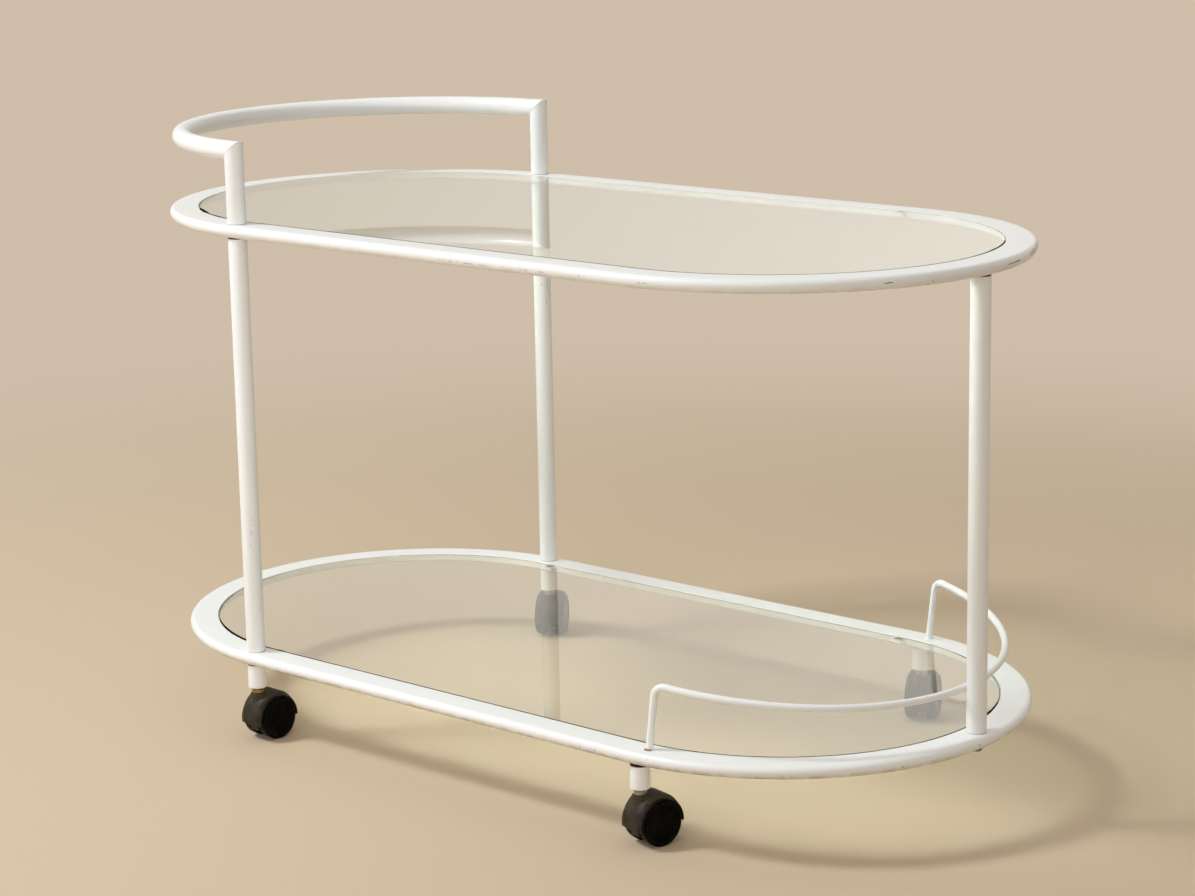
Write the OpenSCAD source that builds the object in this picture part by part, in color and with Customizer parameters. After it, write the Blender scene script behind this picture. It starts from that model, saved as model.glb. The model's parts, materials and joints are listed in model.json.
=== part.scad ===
// Serving cart on casters: two glass shelves in stadium-shaped rings, three posts,
// a curved handle at the left end and a low gallery rail at the right end.
// X runs along the cart, with the handle at the low end. Y runs to the back and Z up.
// The origin is on the floor, under the middle of the shelves.

/* [Shelf rings] */
// Length of the straight sides, between the two round ends
shelf_straight = 570; // [300:5:900]
// Half width of the opening that the glass lies in
opening_r = 244; // [160:1:320]
// Width of the ring, from its opening to its outer edge
ring_w = 34; // [31:0.5:44]
// Height of the ring
ring_h = 15; // [14:0.5:20]
// Radius of the ring's outer top edge
ring_top_r = 6; // [3:0.5:7]
// Radius of the ring's inner bottom edge
ring_inner_r = 3; // [2:0.5:4]
// Wall of the hollow ring
ring_wall = 1.5; // [1:0.1:1.8]
// Height from the lower shelf to the upper shelf
shelf_spacing = 508; // [300:1:700]

/* [Glass shelves] */
// Thickness of the glass
glass_t = 6; // [4:0.5:7]
// Gap between the glass and the ring
glass_gap = 1; // [0.5:0.1:2]
// Length of a pad, along the ring
pad_l = 11; // [6:1:14]
// Width of a pad, across the ring
pad_w = 7; // [4:0.5:8]
// Thickness of a pad
pad_t = 2; // [1:0.1:2.5]
// Length of a tab, along the ring
tab_l = 16; // [14:1:24]
// Width of a tab, across the ring
tab_w = 10; // [8:0.5:14]
// Thickness of a tab
tab_t = 2; // [1:0.1:2.5]
// Distance from a tab's middle to the start of the round end
tab_from_end = 9; // [0:1:60]

/* [Tubes] */
// Outer diameter of posts, legs and handle
tube_d = 22; // [20:0.5:24]
// Wall of those tubes
tube_wall = 1.5; // [1:0.1:2.5]
// Distance from the opening's edge to the axis of a post or leg
post_inset = 16; // [13:0.5:18]
// Distance that the posts and legs stand past the start of the round end
post_past = 10; // [0:1:60]
// Height from the upper shelf to the middle of the handle's bow
handle_rise = 84; // [50:1:140]
// Length of the leg tubes
leg_len = 27.5; // [26:0.5:60]

/* [Joints] */
// Length of the plugs in the tube ends
plug_len = 22; // [18:1:40]
// Radial gap between a plug or insert and its tube
plug_gap = 0.1; // [0.05:0.05:0.2]
// How far a plug's flange stays inside the tube's outer edge
flange_in = 0.4; // [0.2:0.1:1.2]
// Thickness of a plug's flange that stands on a ring
flange_over = 0.6; // [0.4:0.1:1.5]
// Thickness of a flange that meets a ring from below
flange_under = 1.5; // [0.5:0.1:2.5]
// Thickness of the same flange on the front right leg, which hangs a little lower
flange_front_right = 3.6; // [0.5:0.1:5]
// Diameter of the studs and of the bolt's shank
stud_d = 8; // [5:0.5:10]
// Radial gap round studs and threads
stud_gap = 0.1; // [0.05:0.05:0.2]
// Length of a stud inside a plug
stud_in_plug = 16; // [10:0.5:17]
// Length of a stud inside a leg insert
stud_in_leg = 11; // [8:0.5:12]
// Outer diameter of the bushes in the rings
bush_d = 15; // [13:0.5:17]
// Radial gap round a bush
bush_gap = 0.1; // [0.05:0.05:0.2]
// Distance across the flats of the bolt's head
bolt_flats = 11; // [10:0.5:16]
// Height of the bolt's head
bolt_head_h = 4; // [3:0.1:8]
// Diameter of the washer
washer_d = 17; // [16:0.5:20]
// Thickness of the washer
washer_t = 1.6; // [1:0.1:2.5]

/* [Gallery rail] */
// Diameter of the rail's rod
rail_d = 8; // [6:0.5:10]
// Height of the rail's middle over the ring, where it meets its legs
rail_rise = 73; // [50:1:90]
// Slope of the rail, down towards the end post
rail_slope = 7; // [0:0.5:8]
// Distance that the rail's legs stand past the start of the round end
rail_past = 22; // [16:1:40]
// Distance from the opening's edge to the rail's circle
rail_inset = 18; // [10:0.5:20]
// Radius of the bend between leg and rail
rail_bend_r = 12; // [8:1:20]
// Length of the straight part between that bend and the rail's circle
rail_straight = 4; // [2:1:20]
// Length of the weld that joins the rail's two ends at the end post
rail_weld_l = 9; // [6:0.5:14]
// Thickness of that weld over the rod
rail_weld_t = 0.3; // [0.2:0.1:0.8]
// Depth that the rail's legs reach into the ring
rail_sink = 5; // [3:0.5:8]
// Radial gap round the rail's legs in the ring
rail_hole_gap = 0.25; // [0.1:0.05:0.5]
// Gap between the rail's weld and the end post
rail_post_gap = 0.1; // [0.05:0.05:0.3]

/* [Casters] */
// Diameter of the wheels
wheel_d = 50; // [44:1:56]
// Width of one wheel
wheel_w = 12; // [9:0.5:14]
// Radius of the wheel's edges
wheel_edge_r = 1.5; // [1:0.25:3]
// Thickness of the wheel's rim
wheel_rim_t = 4; // [3:0.5:5]
// Thickness of the wheel's outer face
wheel_face_t = 2.6; // [2:0.1:4]
// Diameter of the wheel's hub
hub_d = 13; // [11:0.5:16]
// Diameter of the axle
axle_d = 6; // [5:0.5:8]
// Radial running gap between the axle and a wheel
axle_run = 0.08; // [0.02:0.01:0.1]
// Radial gap between the axle and the hood
axle_fit = 0.05; // [0.01:0.01:0.1]
// Distance that the axle stops short of the wheel's face
axle_end_gap = 1; // [0.5:0.1:1.5]
// Gap between a wheel and the hood's middle
wheel_side_gap = 0.75; // [0.5:0.05:1.5]
// Distance from the stem's axis to the axle's axis, seen from above
trail = 16.2; // [14:0.1:20]
// Thickness of the hood's middle, between the wheels
core_w = 12; // [11:0.5:16]
// Gap between the wheels and the hood over them
hood_gap = 0.9; // [0.6:0.1:2]
// Thickness of the hood's brim
hood_shell = 2.6; // [2:0.1:3.5]
// Width of the brim, over both wheels
brim_w = 36; // [34:0.5:40]
// Radius of the brim's side edges
brim_edge_r = 0.8; // [0.4:0.1:2]
// Width of the hood's shoulders
shoulder_w = 34; // [30:0.5:34]
// Radius of the shoulders, seen from the side
shoulder_r = 29; // [27:0.5:30]
// Radius of the shoulders' side edges
shoulder_edge_r = 6; // [2:0.5:6.5]
// How far in front of the axle the shoulders' middle lies
shoulder_fore = 1.4; // [0:0.1:3]
// Height of the hood's lower edge at the front
hood_front_z = 20; // [16:0.5:26]
// Height of the hood's lower edge at the back
hood_back_z = 24; // [18:0.5:28]
// Height of the underside of the hood's middle
core_z = 12; // [8:0.5:16]
// Height of the hood's top
hood_top_z = 58; // [57:0.5:62]
// Radius of the raised boss round the stem
boss_r = 9; // [8:0.2:11]
// How far the boss's flat top lies below the hood's highest line
boss_drop = 0.5; // [0.2:0.1:2]
// Radius of the domed top behind the boss, seen from the side
dome_r = 35; // [30:1:45]
// How far in front of the axle that dome's middle lies
dome_fore = 6; // [4:0.5:10]
// Diameter of the stem's collar
collar_d = 14.5; // [12:0.5:18]
// Height of the collar
collar_h = 6.8; // [5:0.1:12]
// Gap between the collar and the hood
collar_gap = 0.2; // [0.1:0.05:0.3]
// Diameter of the stem
stem_d = 8; // [6:0.5:8.5]
// Length of the stem inside the hood
stem_in_hood = 19; // [12:0.5:24]
// Length of the stem inside the leg insert
stem_in_leg = 13; // [8:0.5:14]
// Radial running gap between the stem and the hood
stem_run = 0.08; // [0.02:0.01:0.1]
// Direction in which the front left caster trails
turn_front_left = 87; // [0:1:359]
// Direction in which the front right caster trails
turn_front_right = 77; // [0:1:359]
// Direction in which the back right caster trails
turn_back_right = 115; // [0:1:359]
// Direction in which the back left caster trails
turn_back_left = 121; // [0:1:359]

/* [Hidden] */
$fn = 96;
over = 1;

white_paint = [0.93, 0.92, 0.89];
tint_glass = [0.80, 0.87, 0.82, 0.35];
brown_rubber = [0.62, 0.47, 0.30];
black_plug = [0.10, 0.09, 0.09];
zinc_steel = [0.62, 0.61, 0.58];
brass_finish = [0.72, 0.60, 0.32];
grey_plastic = [0.24, 0.23, 0.22];
black_plastic = [0.03, 0.03, 0.03];

tube_r = tube_d / 2;
tube_bore_r = tube_r - tube_wall;
plug_r = tube_bore_r - plug_gap;
flange_r = tube_r - flange_in;
stud_r = stud_d / 2;
bush_r = bush_d / 2;

wheel_r = wheel_d / 2;
leg_z = hood_top_z + collar_gap + collar_h;
ring_low_z = leg_z + leg_len + flange_under;
lower_z = ring_low_z + ring_h;
upper_z = lower_z + shelf_spacing;
bow_z = upper_z + handle_rise;

end_x = shelf_straight / 2;
post_x = end_x + post_past;
post_y = opening_r + post_inset;
end_post_x = end_x + opening_r + post_inset;
left_posts = [[-post_x, -post_y], [-post_x, post_y]];
right_legs = [[post_x, -post_y], [post_x, post_y]];
end_post = [[end_post_x, 0]];

bow_r = sqrt(post_past * post_past + post_y * post_y);
bow_angle = atan2(post_y, -post_past);
mitre_extra = 2 * atan(tube_d / bow_r);
mitre_cut = 4 * tube_d;

rail_r = rail_d / 2;
rail_circle_r = opening_r + rail_inset;
rail_base_x = end_x + rail_past;
rail_weld_r = rail_r + rail_weld_t;
rail_reach = (end_post_x - tube_r - rail_post_gap - rail_weld_r - rail_base_x
    - rail_rise * sin(rail_slope)) / cos(rail_slope);
rail_centre = rail_reach - rail_circle_r;
rail_side = rail_straight + rail_bend_r;
rail_angle = acos(-rail_centre / sqrt(rail_circle_r * rail_circle_r + rail_side * rail_side))
    - atan(rail_side / rail_circle_r);
rail_leg_y = rail_circle_r * sin(rail_angle) + rail_side * cos(rail_angle);
rail_split = 0.1;

wheel_y0 = core_w / 2 + wheel_side_gap;
wheel_y1 = wheel_y0 + wheel_w;
hood_in_r = wheel_r + hood_gap;
hood_r = hood_in_r + hood_shell;
hub_r = hub_d / 2;
axle_r = axle_d / 2;
axle_y = wheel_y1 - wheel_face_t - axle_end_gap;
stem_r = stem_d / 2;

// Rings

// The ring's section, drawn outwards from the opening, with its top at zero.
// A smaller copy with inset walls is the hollow inside it.
module ring_section(inset = 0) {
    low_r = ring_h - ring_top_r;
    difference() {
        union() {
            translate([inset, -ring_top_r])
                square([ring_w - ring_top_r - inset, ring_top_r - inset]);
            translate([ring_w - ring_top_r, -ring_top_r])
                circle(ring_top_r - inset);
            intersection() {
                translate([ring_w - low_r, -ring_top_r])
                    circle(low_r - inset);
                translate([0, -ring_h])
                    square([ring_w, ring_h - ring_top_r]);
            }
            translate([ring_inner_r, -ring_h + inset])
                square([ring_w - low_r - ring_inner_r, low_r - inset]);
            translate([inset, -ring_h + ring_inner_r])
                square([ring_inner_r, low_r - ring_inner_r]);
            translate([ring_inner_r, -ring_h + ring_inner_r])
                circle(ring_inner_r - inset);
        }
        translate([-over, -ring_h - over])
            square([over + inset, ring_h + 2 * over]);
    }
}

// Sweeps a section round a stadium whose round ends have the given radius
module stadium_sweep(radius) {
    for (turn = [0, 180])
        rotate([0, 0, turn]) {
            translate([end_x, 0, 0])
                rotate([0, 0, -90])
                    rotate_extrude(angle = 180)
                        translate([radius, 0])
                            children();
            translate([-end_x, radius, 0])
                rotate([90, 0, 90])
                    linear_extrude(height = shelf_straight)
                        children();
        }
}

module stadium_plate(radius, height) {
    for (side = [-1, 1])
        translate([side * end_x, 0, 0])
            cylinder(r = radius, h = height);
    translate([-end_x, -radius, 0])
        cube([shelf_straight, 2 * radius, height]);
}

module at(points) {
    for (point = points)
        translate([point[0], point[1], 0])
            children();
}

module bush_hole(depth) {
    translate([0, 0, -over])
        cylinder(r = bush_r + bush_gap, h = depth + over);
}

// A ring with its top at the given height. The through points are bored right
// through, and the blind points are bored only from below.
module ring(top_z, through, blind) {
    difference() {
        translate([0, 0, top_z])
            difference() {
                stadium_sweep(opening_r)
                    ring_section();
                stadium_sweep(opening_r)
                    ring_section(ring_wall);
            }
        translate([0, 0, top_z - ring_h]) {
            at(through)
                bush_hole(ring_h + over);
            at(blind)
                bush_hole(ring_h - ring_wall);
        }
    }
}

module upper_ring() {
    color(white_paint)
        ring(upper_z, left_posts, end_post);
}

module lower_ring() {
    color(white_paint)
        difference() {
            ring(lower_z, concat(left_posts, end_post), right_legs);
            rail_frame()
                for (side = [-1, 1])
                    translate([0, side * rail_leg_y, -rail_sink])
                        cylinder(r = rail_r + rail_hole_gap, h = 2 * rail_sink);
        }
}

module bush(top_z, height) {
    translate([0, 0, top_z - ring_h])
        difference() {
            cylinder(r = bush_r, h = height);
            translate([0, 0, -over])
                cylinder(r = stud_r + stud_gap, h = height + 2 * over);
        }
}

module upper_ring_bushes() {
    color(zinc_steel) {
        at(left_posts)
            bush(upper_z, ring_h);
        at(end_post)
            bush(upper_z, ring_h - ring_wall);
    }
}

module lower_ring_bushes() {
    color(zinc_steel) {
        at(concat(left_posts, end_post))
            bush(lower_z, ring_h);
        at(right_legs)
            bush(lower_z, ring_h - ring_wall);
    }
}

// Glass, its tabs and pads

module glass(top_z) {
    translate([0, 0, top_z - glass_t])
        stadium_plate(opening_r - glass_gap, glass_t);
}

module upper_glass() {
    color(tint_glass)
        glass(upper_z);
}

module lower_glass() {
    color(tint_glass)
        glass(lower_z);
}

// Four blocks against the ring's inner wall, two on each straight side
module blocks(length, width, height, back, z) {
    for (side = [-1, 1], finish = [-1, 1])
        translate([side * (end_x - tab_from_end) - length / 2, 0, z])
            mirror([0, finish > 0 ? 0 : 1, 0])
                translate([0, opening_r - back - width, 0])
                    cube([length, width, height]);
}

module glass_tabs(top_z) {
    blocks(tab_l, tab_w, tab_t, 0, top_z - glass_t - pad_t - tab_t);
}

module glass_pads(top_z) {
    blocks(pad_l, pad_w, pad_t, glass_gap, top_z - glass_t - pad_t);
}

module upper_glass_tabs() {
    color(white_paint)
        glass_tabs(upper_z);
}

module lower_glass_tabs() {
    color(white_paint)
        glass_tabs(lower_z);
}

module upper_glass_pads() {
    color(brown_rubber)
        glass_pads(upper_z);
}

module lower_glass_pads() {
    color(brown_rubber)
        glass_pads(lower_z);
}

// Posts, legs and handle

module tube(bottom_z, top_z) {
    translate([0, 0, bottom_z])
        difference() {
            cylinder(r = tube_r, h = top_z - bottom_z);
            translate([0, 0, -over])
                cylinder(r = tube_bore_r, h = top_z - bottom_z + 2 * over);
        }
}

module post(points) {
    color(white_paint)
        at(points)
            tube(lower_z + flange_over, upper_z - ring_h - flange_under);
}

module post_front() {
    post([left_posts[0]]);
}

module post_back() {
    post([left_posts[1]]);
}

module post_end() {
    post(end_post);
}

module leg(point, flange_t = flange_under) {
    color(white_paint)
        at([point])
            tube(leg_z, ring_low_z - flange_t);
}

module leg_front_left() {
    leg(left_posts[0]);
}

module leg_front_right() {
    leg(right_legs[0], flange_front_right);
}

module leg_back_right() {
    leg(right_legs[1]);
}

module leg_back_left() {
    leg(left_posts[1]);
}

// The half space on the bow's side of a mitre. The side is -1 at the front
// upright and 1 at the back one.
module mitre_side(side, bow_half) {
    translate([-post_x, side * post_y, bow_z])
        rotate([0, 0, side * (bow_angle + 90)])
            rotate([0, -45, 0])
                translate([bow_half ? 0 : -mitre_cut, -mitre_cut / 2, -mitre_cut / 2])
                    cube(mitre_cut);
}

module handle_upright(side) {
    color(white_paint)
        difference() {
            translate([-post_x, side * post_y, 0])
                tube(upper_z + flange_over, bow_z + tube_d);
            mitre_side(side, true);
        }
}

module handle_upright_front() {
    handle_upright(-1);
}

module handle_upright_back() {
    handle_upright(1);
}

module handle_bow() {
    start = bow_angle - mitre_extra;
    color(white_paint)
        difference() {
            translate([-end_x, 0, bow_z])
                rotate([0, 0, start])
                    rotate_extrude(angle = 360 - 2 * start)
                        translate([bow_r, 0])
                            difference() {
                                circle(tube_r);
                                circle(tube_bore_r);
                            }
            for (side = [-1, 1])
                mitre_side(side, false);
        }
}

// Gallery rail

// The rail's own frame: its origin is between the legs on the lower ring's top
module rail_frame() {
    translate([rail_base_x, 0, lower_z])
        rotate([0, rail_slope, 0])
            children();
}

// One half of the rail, drawn from the end of its half circle: back along the
// circle to the weld, and on through the bend and down the leg
module rail_half() {
    mirror([0, 1, 0])
        rotate_extrude(angle = rail_angle - rail_split)
            translate([rail_circle_r, 0])
                circle(rail_r);
    translate([rail_circle_r, 0, 0])
        rotate([-90, 0, 0])
            cylinder(r = rail_r, h = rail_straight);
    translate([rail_circle_r, rail_straight, -rail_bend_r])
        rotate([90, 0, 90])
            rotate_extrude(angle = 90)
                translate([rail_bend_r, 0])
                    circle(rail_r);
    translate([rail_circle_r, rail_side, -rail_rise - rail_sink])
        cylinder(r = rail_r, h = rail_rise + rail_sink - rail_bend_r);
}

module gallery_rail() {
    color(white_paint)
        rail_frame() {
            for (side = [0, 1])
                mirror([0, side, 0])
                    translate([rail_centre, 0, rail_rise])
                        rotate([0, 0, rail_angle])
                            rail_half();
            translate([rail_reach, 0, rail_rise])
                rotate([90, 0, 0])
                    translate([0, 0, -rail_weld_l / 2])
                        cylinder(r = rail_weld_r, h = rail_weld_l);
        }
}

// Plugs, inserts and fasteners

// A plug with its flange at the bottom, drawn upwards from zero
module plug(flange_t) {
    difference() {
        union() {
            cylinder(r = flange_r, h = flange_t);
            cylinder(r = plug_r, h = flange_t + plug_len);
        }
        translate([0, 0, -over])
            cylinder(r = stud_r + stud_gap, h = flange_t + plug_len + 2 * over);
    }
}

module plug_on_ring(top_z) {
    translate([0, 0, top_z])
        plug(flange_over);
}

module plug_under_ring(top_z) {
    translate([0, 0, top_z - ring_h])
        mirror([0, 0, 1])
            plug(flange_under);
}

module upright_plugs() {
    color(black_plug)
        at(left_posts)
            plug_on_ring(upper_z);
}

module post_top_plugs() {
    color(black_plug)
        at(concat(left_posts, end_post))
            plug_under_ring(upper_z);
}

module post_bottom_plugs() {
    color(black_plug)
        at(concat(left_posts, end_post))
            plug_on_ring(lower_z);
}

module leg_insert(point, flange_t = flange_under) {
    at([point])
        difference() {
            union() {
                translate([0, 0, leg_z])
                    cylinder(r = plug_r, h = ring_low_z - leg_z);
                translate([0, 0, ring_low_z - flange_t])
                    cylinder(r = flange_r, h = flange_t);
            }
            translate([0, 0, leg_z - over])
                cylinder(r = stud_r + stud_gap, h = ring_low_z - leg_z + 2 * over);
        }
}

module leg_inserts() {
    color(black_plug) {
        leg_insert(left_posts[0]);
        leg_insert(right_legs[0], flange_front_right);
        leg_insert(right_legs[1]);
        leg_insert(left_posts[1]);
    }
}

module stud(bottom_z, top_z) {
    translate([0, 0, bottom_z])
        cylinder(r = stud_r, h = top_z - bottom_z);
}

module upper_joint_studs() {
    color(zinc_steel)
        at(left_posts)
            stud(upper_z - ring_h - flange_under - stud_in_plug,
                upper_z + flange_over + stud_in_plug);
}

module lower_joint_studs() {
    color(zinc_steel)
        at(left_posts)
            stud(ring_low_z - flange_under - stud_in_leg,
                lower_z + flange_over + stud_in_plug);
}

module right_leg_studs() {
    color(zinc_steel)
        at(right_legs)
            stud(ring_low_z - flange_under - stud_in_leg, lower_z - ring_wall);
}

module end_post_stud() {
    color(zinc_steel)
        at(end_post)
            stud(upper_z - ring_h - flange_under - stud_in_plug, upper_z - ring_wall);
}

module end_post_bolt() {
    color(zinc_steel)
        at(end_post) {
            stud(ring_low_z - washer_t, lower_z + flange_over + stud_in_plug);
            translate([0, 0, ring_low_z - washer_t - bolt_head_h])
                cylinder(d = bolt_flats / cos(30), h = bolt_head_h, $fn = 6);
        }
}

module end_post_washer() {
    color(zinc_steel)
        at(end_post)
            translate([0, 0, ring_low_z - washer_t])
                difference() {
                    cylinder(d = washer_d, h = washer_t);
                    translate([0, 0, -over])
                        cylinder(r = stud_r + stud_gap, h = washer_t + 2 * over);
                }
}

// Casters. Each is drawn with its stem at the origin and the wheels trailing
// along X, and then turned and moved under its leg.

module under_leg(point, turn) {
    at([point])
        rotate([0, 0, turn])
            children();
}

module along_axle() {
    translate([trail, 0, wheel_r])
        rotate([-90, 0, 0])
            children();
}

module stem(finish) {
    color(finish) {
        translate([0, 0, hood_top_z - stem_in_hood])
            cylinder(r = stem_r, h = leg_z + stem_in_leg - hood_top_z + stem_in_hood);
        translate([0, 0, hood_top_z + collar_gap])
            cylinder(d = collar_d, h = collar_h);
    }
}

module hood_block(radius, half_width) {
    along_axle()
        translate([0, 0, -half_width])
            cylinder(r = radius, h = 2 * half_width);
}

// The space below a line from the hood's front edge to its back edge
module below_hood() {
    rotate([90, 0, 0])
        translate([0, 0, -2 * wheel_y1])
            linear_extrude(height = 4 * wheel_y1)
                polygon([
                    [trail - 2 * hood_r, -hood_r],
                    [trail + 2 * hood_r, -hood_r],
                    [trail + 2 * hood_r, hood_back_z],
                    [trail + hood_r, hood_back_z],
                    [trail - hood_r, hood_front_z],
                    [trail - 2 * hood_r, hood_front_z]
                ]);
}

// Half of a round disc's section, with rounded edges, for turning round its axis
module disc_section(radius, width, edge_r) {
    intersection() {
        union() {
            translate([0, -width / 2])
                square([radius - edge_r, width]);
            translate([0, edge_r - width / 2])
                square([radius, width - 2 * edge_r]);
            for (side = [-1, 1])
                translate([radius - edge_r, side * (width / 2 - edge_r)])
                    circle(edge_r);
        }
        translate([0, -width])
            square([2 * radius, 2 * width]);
    }
}

// The hood's side walls run round the wheels as a brim, and its shoulders rise
// a little higher and further forward than the brim
module hood_brim() {
    along_axle()
        rotate_extrude()
            disc_section(hood_r, brim_w, brim_edge_r);
}

module hood_shoulders() {
    translate([trail - shoulder_fore, 0, hood_top_z - shoulder_r])
        rotate([-90, 0, 0])
            rotate_extrude()
                disc_section(shoulder_r, shoulder_w, shoulder_edge_r);
}

module wheel_spaces() {
    for (side = [-1, 1])
        along_axle()
            translate([0, 0, side > 0 ? core_w / 2 : -core_w / 2 - 2 * wheel_w])
                cylinder(r = hood_in_r, h = 2 * wheel_w);
}

// The raised boss round the stem runs back into the shoulders, under a domed top
module hood_boss() {
    cylinder(r = boss_r, h = hood_top_z - boss_drop);
    intersection() {
        translate([0, -boss_r, 0])
            cube([trail, 2 * boss_r, 2 * hood_r]);
        translate([trail - dome_fore, 0, hood_top_z - dome_r])
            rotate([90, 0, 0])
                translate([0, 0, -brim_w / 2])
                    cylinder(r = dome_r, h = brim_w);
    }
}

module hood() {
    color(grey_plastic)
        difference() {
            union() {
                difference() {
                    union() {
                        hood_brim();
                        hood_shoulders();
                        hood_boss();
                    }
                    wheel_spaces();
                    below_hood();
                }
                intersection() {
                    hood_block(hood_in_r, core_w / 2);
                    translate([trail - hood_r, -core_w, core_z])
                        cube([2 * hood_r, 2 * core_w, 2 * hood_r]);
                }
            }
            translate([0, 0, hood_top_z - stem_in_hood - collar_gap])
                cylinder(r = stem_r + stem_run, h = stem_in_hood + collar_gap + over);
            hood_block(axle_r + axle_fit, core_w);
        }
}

module axle() {
    color(zinc_steel)
        hood_block(axle_r, axle_y);
}

// Wheel on the side that the given sign names
module wheel(side) {
    flat_r = wheel_r - wheel_edge_r;
    color(black_plastic)
        along_axle()
            mirror([0, 0, side > 0 ? 0 : 1])
                translate([0, 0, wheel_y0])
                    rotate_extrude()
                        difference() {
                            union() {
                                square([flat_r, wheel_w]);
                                translate([0, wheel_edge_r])
                                    square([wheel_r, wheel_w - 2 * wheel_edge_r]);
                                for (z = [wheel_edge_r, wheel_w - wheel_edge_r])
                                    translate([flat_r, z])
                                        circle(wheel_edge_r);
                            }
                            translate([hub_r, -over])
                                square([wheel_r - wheel_rim_t - hub_r, wheel_w - wheel_face_t + over]);
                            translate([-over, -over])
                                square([over + axle_r + axle_run, wheel_w - wheel_face_t + over]);
                        }
}

module stem_front_left() {
    under_leg(left_posts[0], turn_front_left)
        stem(brass_finish);
}

module stem_front_right() {
    under_leg(right_legs[0], turn_front_right)
        stem(zinc_steel);
}

module stem_back_right() {
    under_leg(right_legs[1], turn_back_right)
        stem(zinc_steel);
}

module stem_back_left() {
    under_leg(left_posts[1], turn_back_left)
        stem(zinc_steel);
}

module hood_front_left() {
    under_leg(left_posts[0], turn_front_left)
        hood();
}

module hood_front_right() {
    under_leg(right_legs[0], turn_front_right)
        hood();
}

module hood_back_right() {
    under_leg(right_legs[1], turn_back_right)
        hood();
}

module hood_back_left() {
    under_leg(left_posts[1], turn_back_left)
        hood();
}

module axle_front_left() {
    under_leg(left_posts[0], turn_front_left)
        axle();
}

module axle_front_right() {
    under_leg(right_legs[0], turn_front_right)
        axle();
}

module axle_back_right() {
    under_leg(right_legs[1], turn_back_right)
        axle();
}

module axle_back_left() {
    under_leg(left_posts[1], turn_back_left)
        axle();
}

module wheel_a_front_left() {
    under_leg(left_posts[0], turn_front_left)
        wheel(-1);
}

module wheel_a_front_right() {
    under_leg(right_legs[0], turn_front_right)
        wheel(-1);
}

module wheel_a_back_right() {
    under_leg(right_legs[1], turn_back_right)
        wheel(-1);
}

module wheel_a_back_left() {
    under_leg(left_posts[1], turn_back_left)
        wheel(-1);
}

module wheel_b_front_left() {
    under_leg(left_posts[0], turn_front_left)
        wheel(1);
}

module wheel_b_front_right() {
    under_leg(right_legs[0], turn_front_right)
        wheel(1);
}

module wheel_b_back_right() {
    under_leg(right_legs[1], turn_back_right)
        wheel(1);
}

module wheel_b_back_left() {
    under_leg(left_posts[1], turn_back_left)
        wheel(1);
}

upper_ring();
lower_ring();
upper_glass();
lower_glass();
upper_glass_tabs();
lower_glass_tabs();
upper_glass_pads();
lower_glass_pads();
handle_bow();
handle_upright_front();
handle_upright_back();
post_front();
post_back();
post_end();
gallery_rail();
leg_front_left();
leg_front_right();
leg_back_right();
leg_back_left();
upright_plugs();
post_top_plugs();
post_bottom_plugs();
leg_inserts();
upper_ring_bushes();
lower_ring_bushes();
upper_joint_studs();
lower_joint_studs();
right_leg_studs();
end_post_stud();
end_post_bolt();
end_post_washer();
stem_front_left();
stem_front_right();
stem_back_right();
stem_back_left();
hood_front_left();
hood_front_right();
hood_back_right();
hood_back_left();
axle_front_left();
axle_front_right();
axle_back_right();
axle_back_left();
wheel_a_front_left();
wheel_a_front_right();
wheel_a_back_right();
wheel_a_back_left();
wheel_b_front_left();
wheel_b_front_right();
wheel_b_back_right();
wheel_b_back_left();
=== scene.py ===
import json
import math

import bmesh
import bpy
from mathutils import Matrix, Vector, noise


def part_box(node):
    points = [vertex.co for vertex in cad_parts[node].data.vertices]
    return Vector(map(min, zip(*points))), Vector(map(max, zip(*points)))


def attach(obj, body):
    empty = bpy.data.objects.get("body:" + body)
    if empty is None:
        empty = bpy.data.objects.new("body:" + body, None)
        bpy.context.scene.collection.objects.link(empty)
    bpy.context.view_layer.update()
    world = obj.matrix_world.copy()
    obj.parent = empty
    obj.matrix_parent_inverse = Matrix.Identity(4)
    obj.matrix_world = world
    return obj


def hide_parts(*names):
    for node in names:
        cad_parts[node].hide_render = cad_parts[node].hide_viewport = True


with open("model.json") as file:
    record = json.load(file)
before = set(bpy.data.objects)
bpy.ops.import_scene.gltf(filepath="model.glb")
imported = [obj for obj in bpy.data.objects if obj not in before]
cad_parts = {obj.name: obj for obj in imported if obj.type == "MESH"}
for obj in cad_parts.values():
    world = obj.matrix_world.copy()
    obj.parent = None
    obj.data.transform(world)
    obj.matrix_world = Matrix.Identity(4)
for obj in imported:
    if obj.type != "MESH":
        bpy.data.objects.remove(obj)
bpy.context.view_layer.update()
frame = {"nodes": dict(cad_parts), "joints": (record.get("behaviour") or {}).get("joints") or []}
nodes = frame["nodes"]
mm = 0.001
xAxis = Vector((1, 0, 0))
yAxis = Vector((0, 1, 0))
zAxis = Vector((0, 0, 1))
print("frame loaded:", len(nodes), "nodes")


# small helpers for shader and geometry trees

def addNode(tree, kind, inputs=None, **settings):
    node = tree.nodes.new(kind)
    for name, value in settings.items():
        setattr(node, name, value)
    for name, value in (inputs or {}).items():
        setInput(node.inputs[name], value)
    return node


def setInput(socket, value):
    # links a socket or a node's first output, and sets a plain value
    if isinstance(value, bpy.types.Node):
        value = value.outputs[0]
    if isinstance(value, bpy.types.NodeSocket):
        socket.id_data.links.new(value, socket)
    else:
        socket.default_value = value


def operationNode(kind, values, **settings):
    # a node in the tree that its values belong to
    tree = next(value.id_data for value in values if hasattr(value, "id_data"))
    return addNode(tree, kind, dict(enumerate(values)), **settings)


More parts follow.
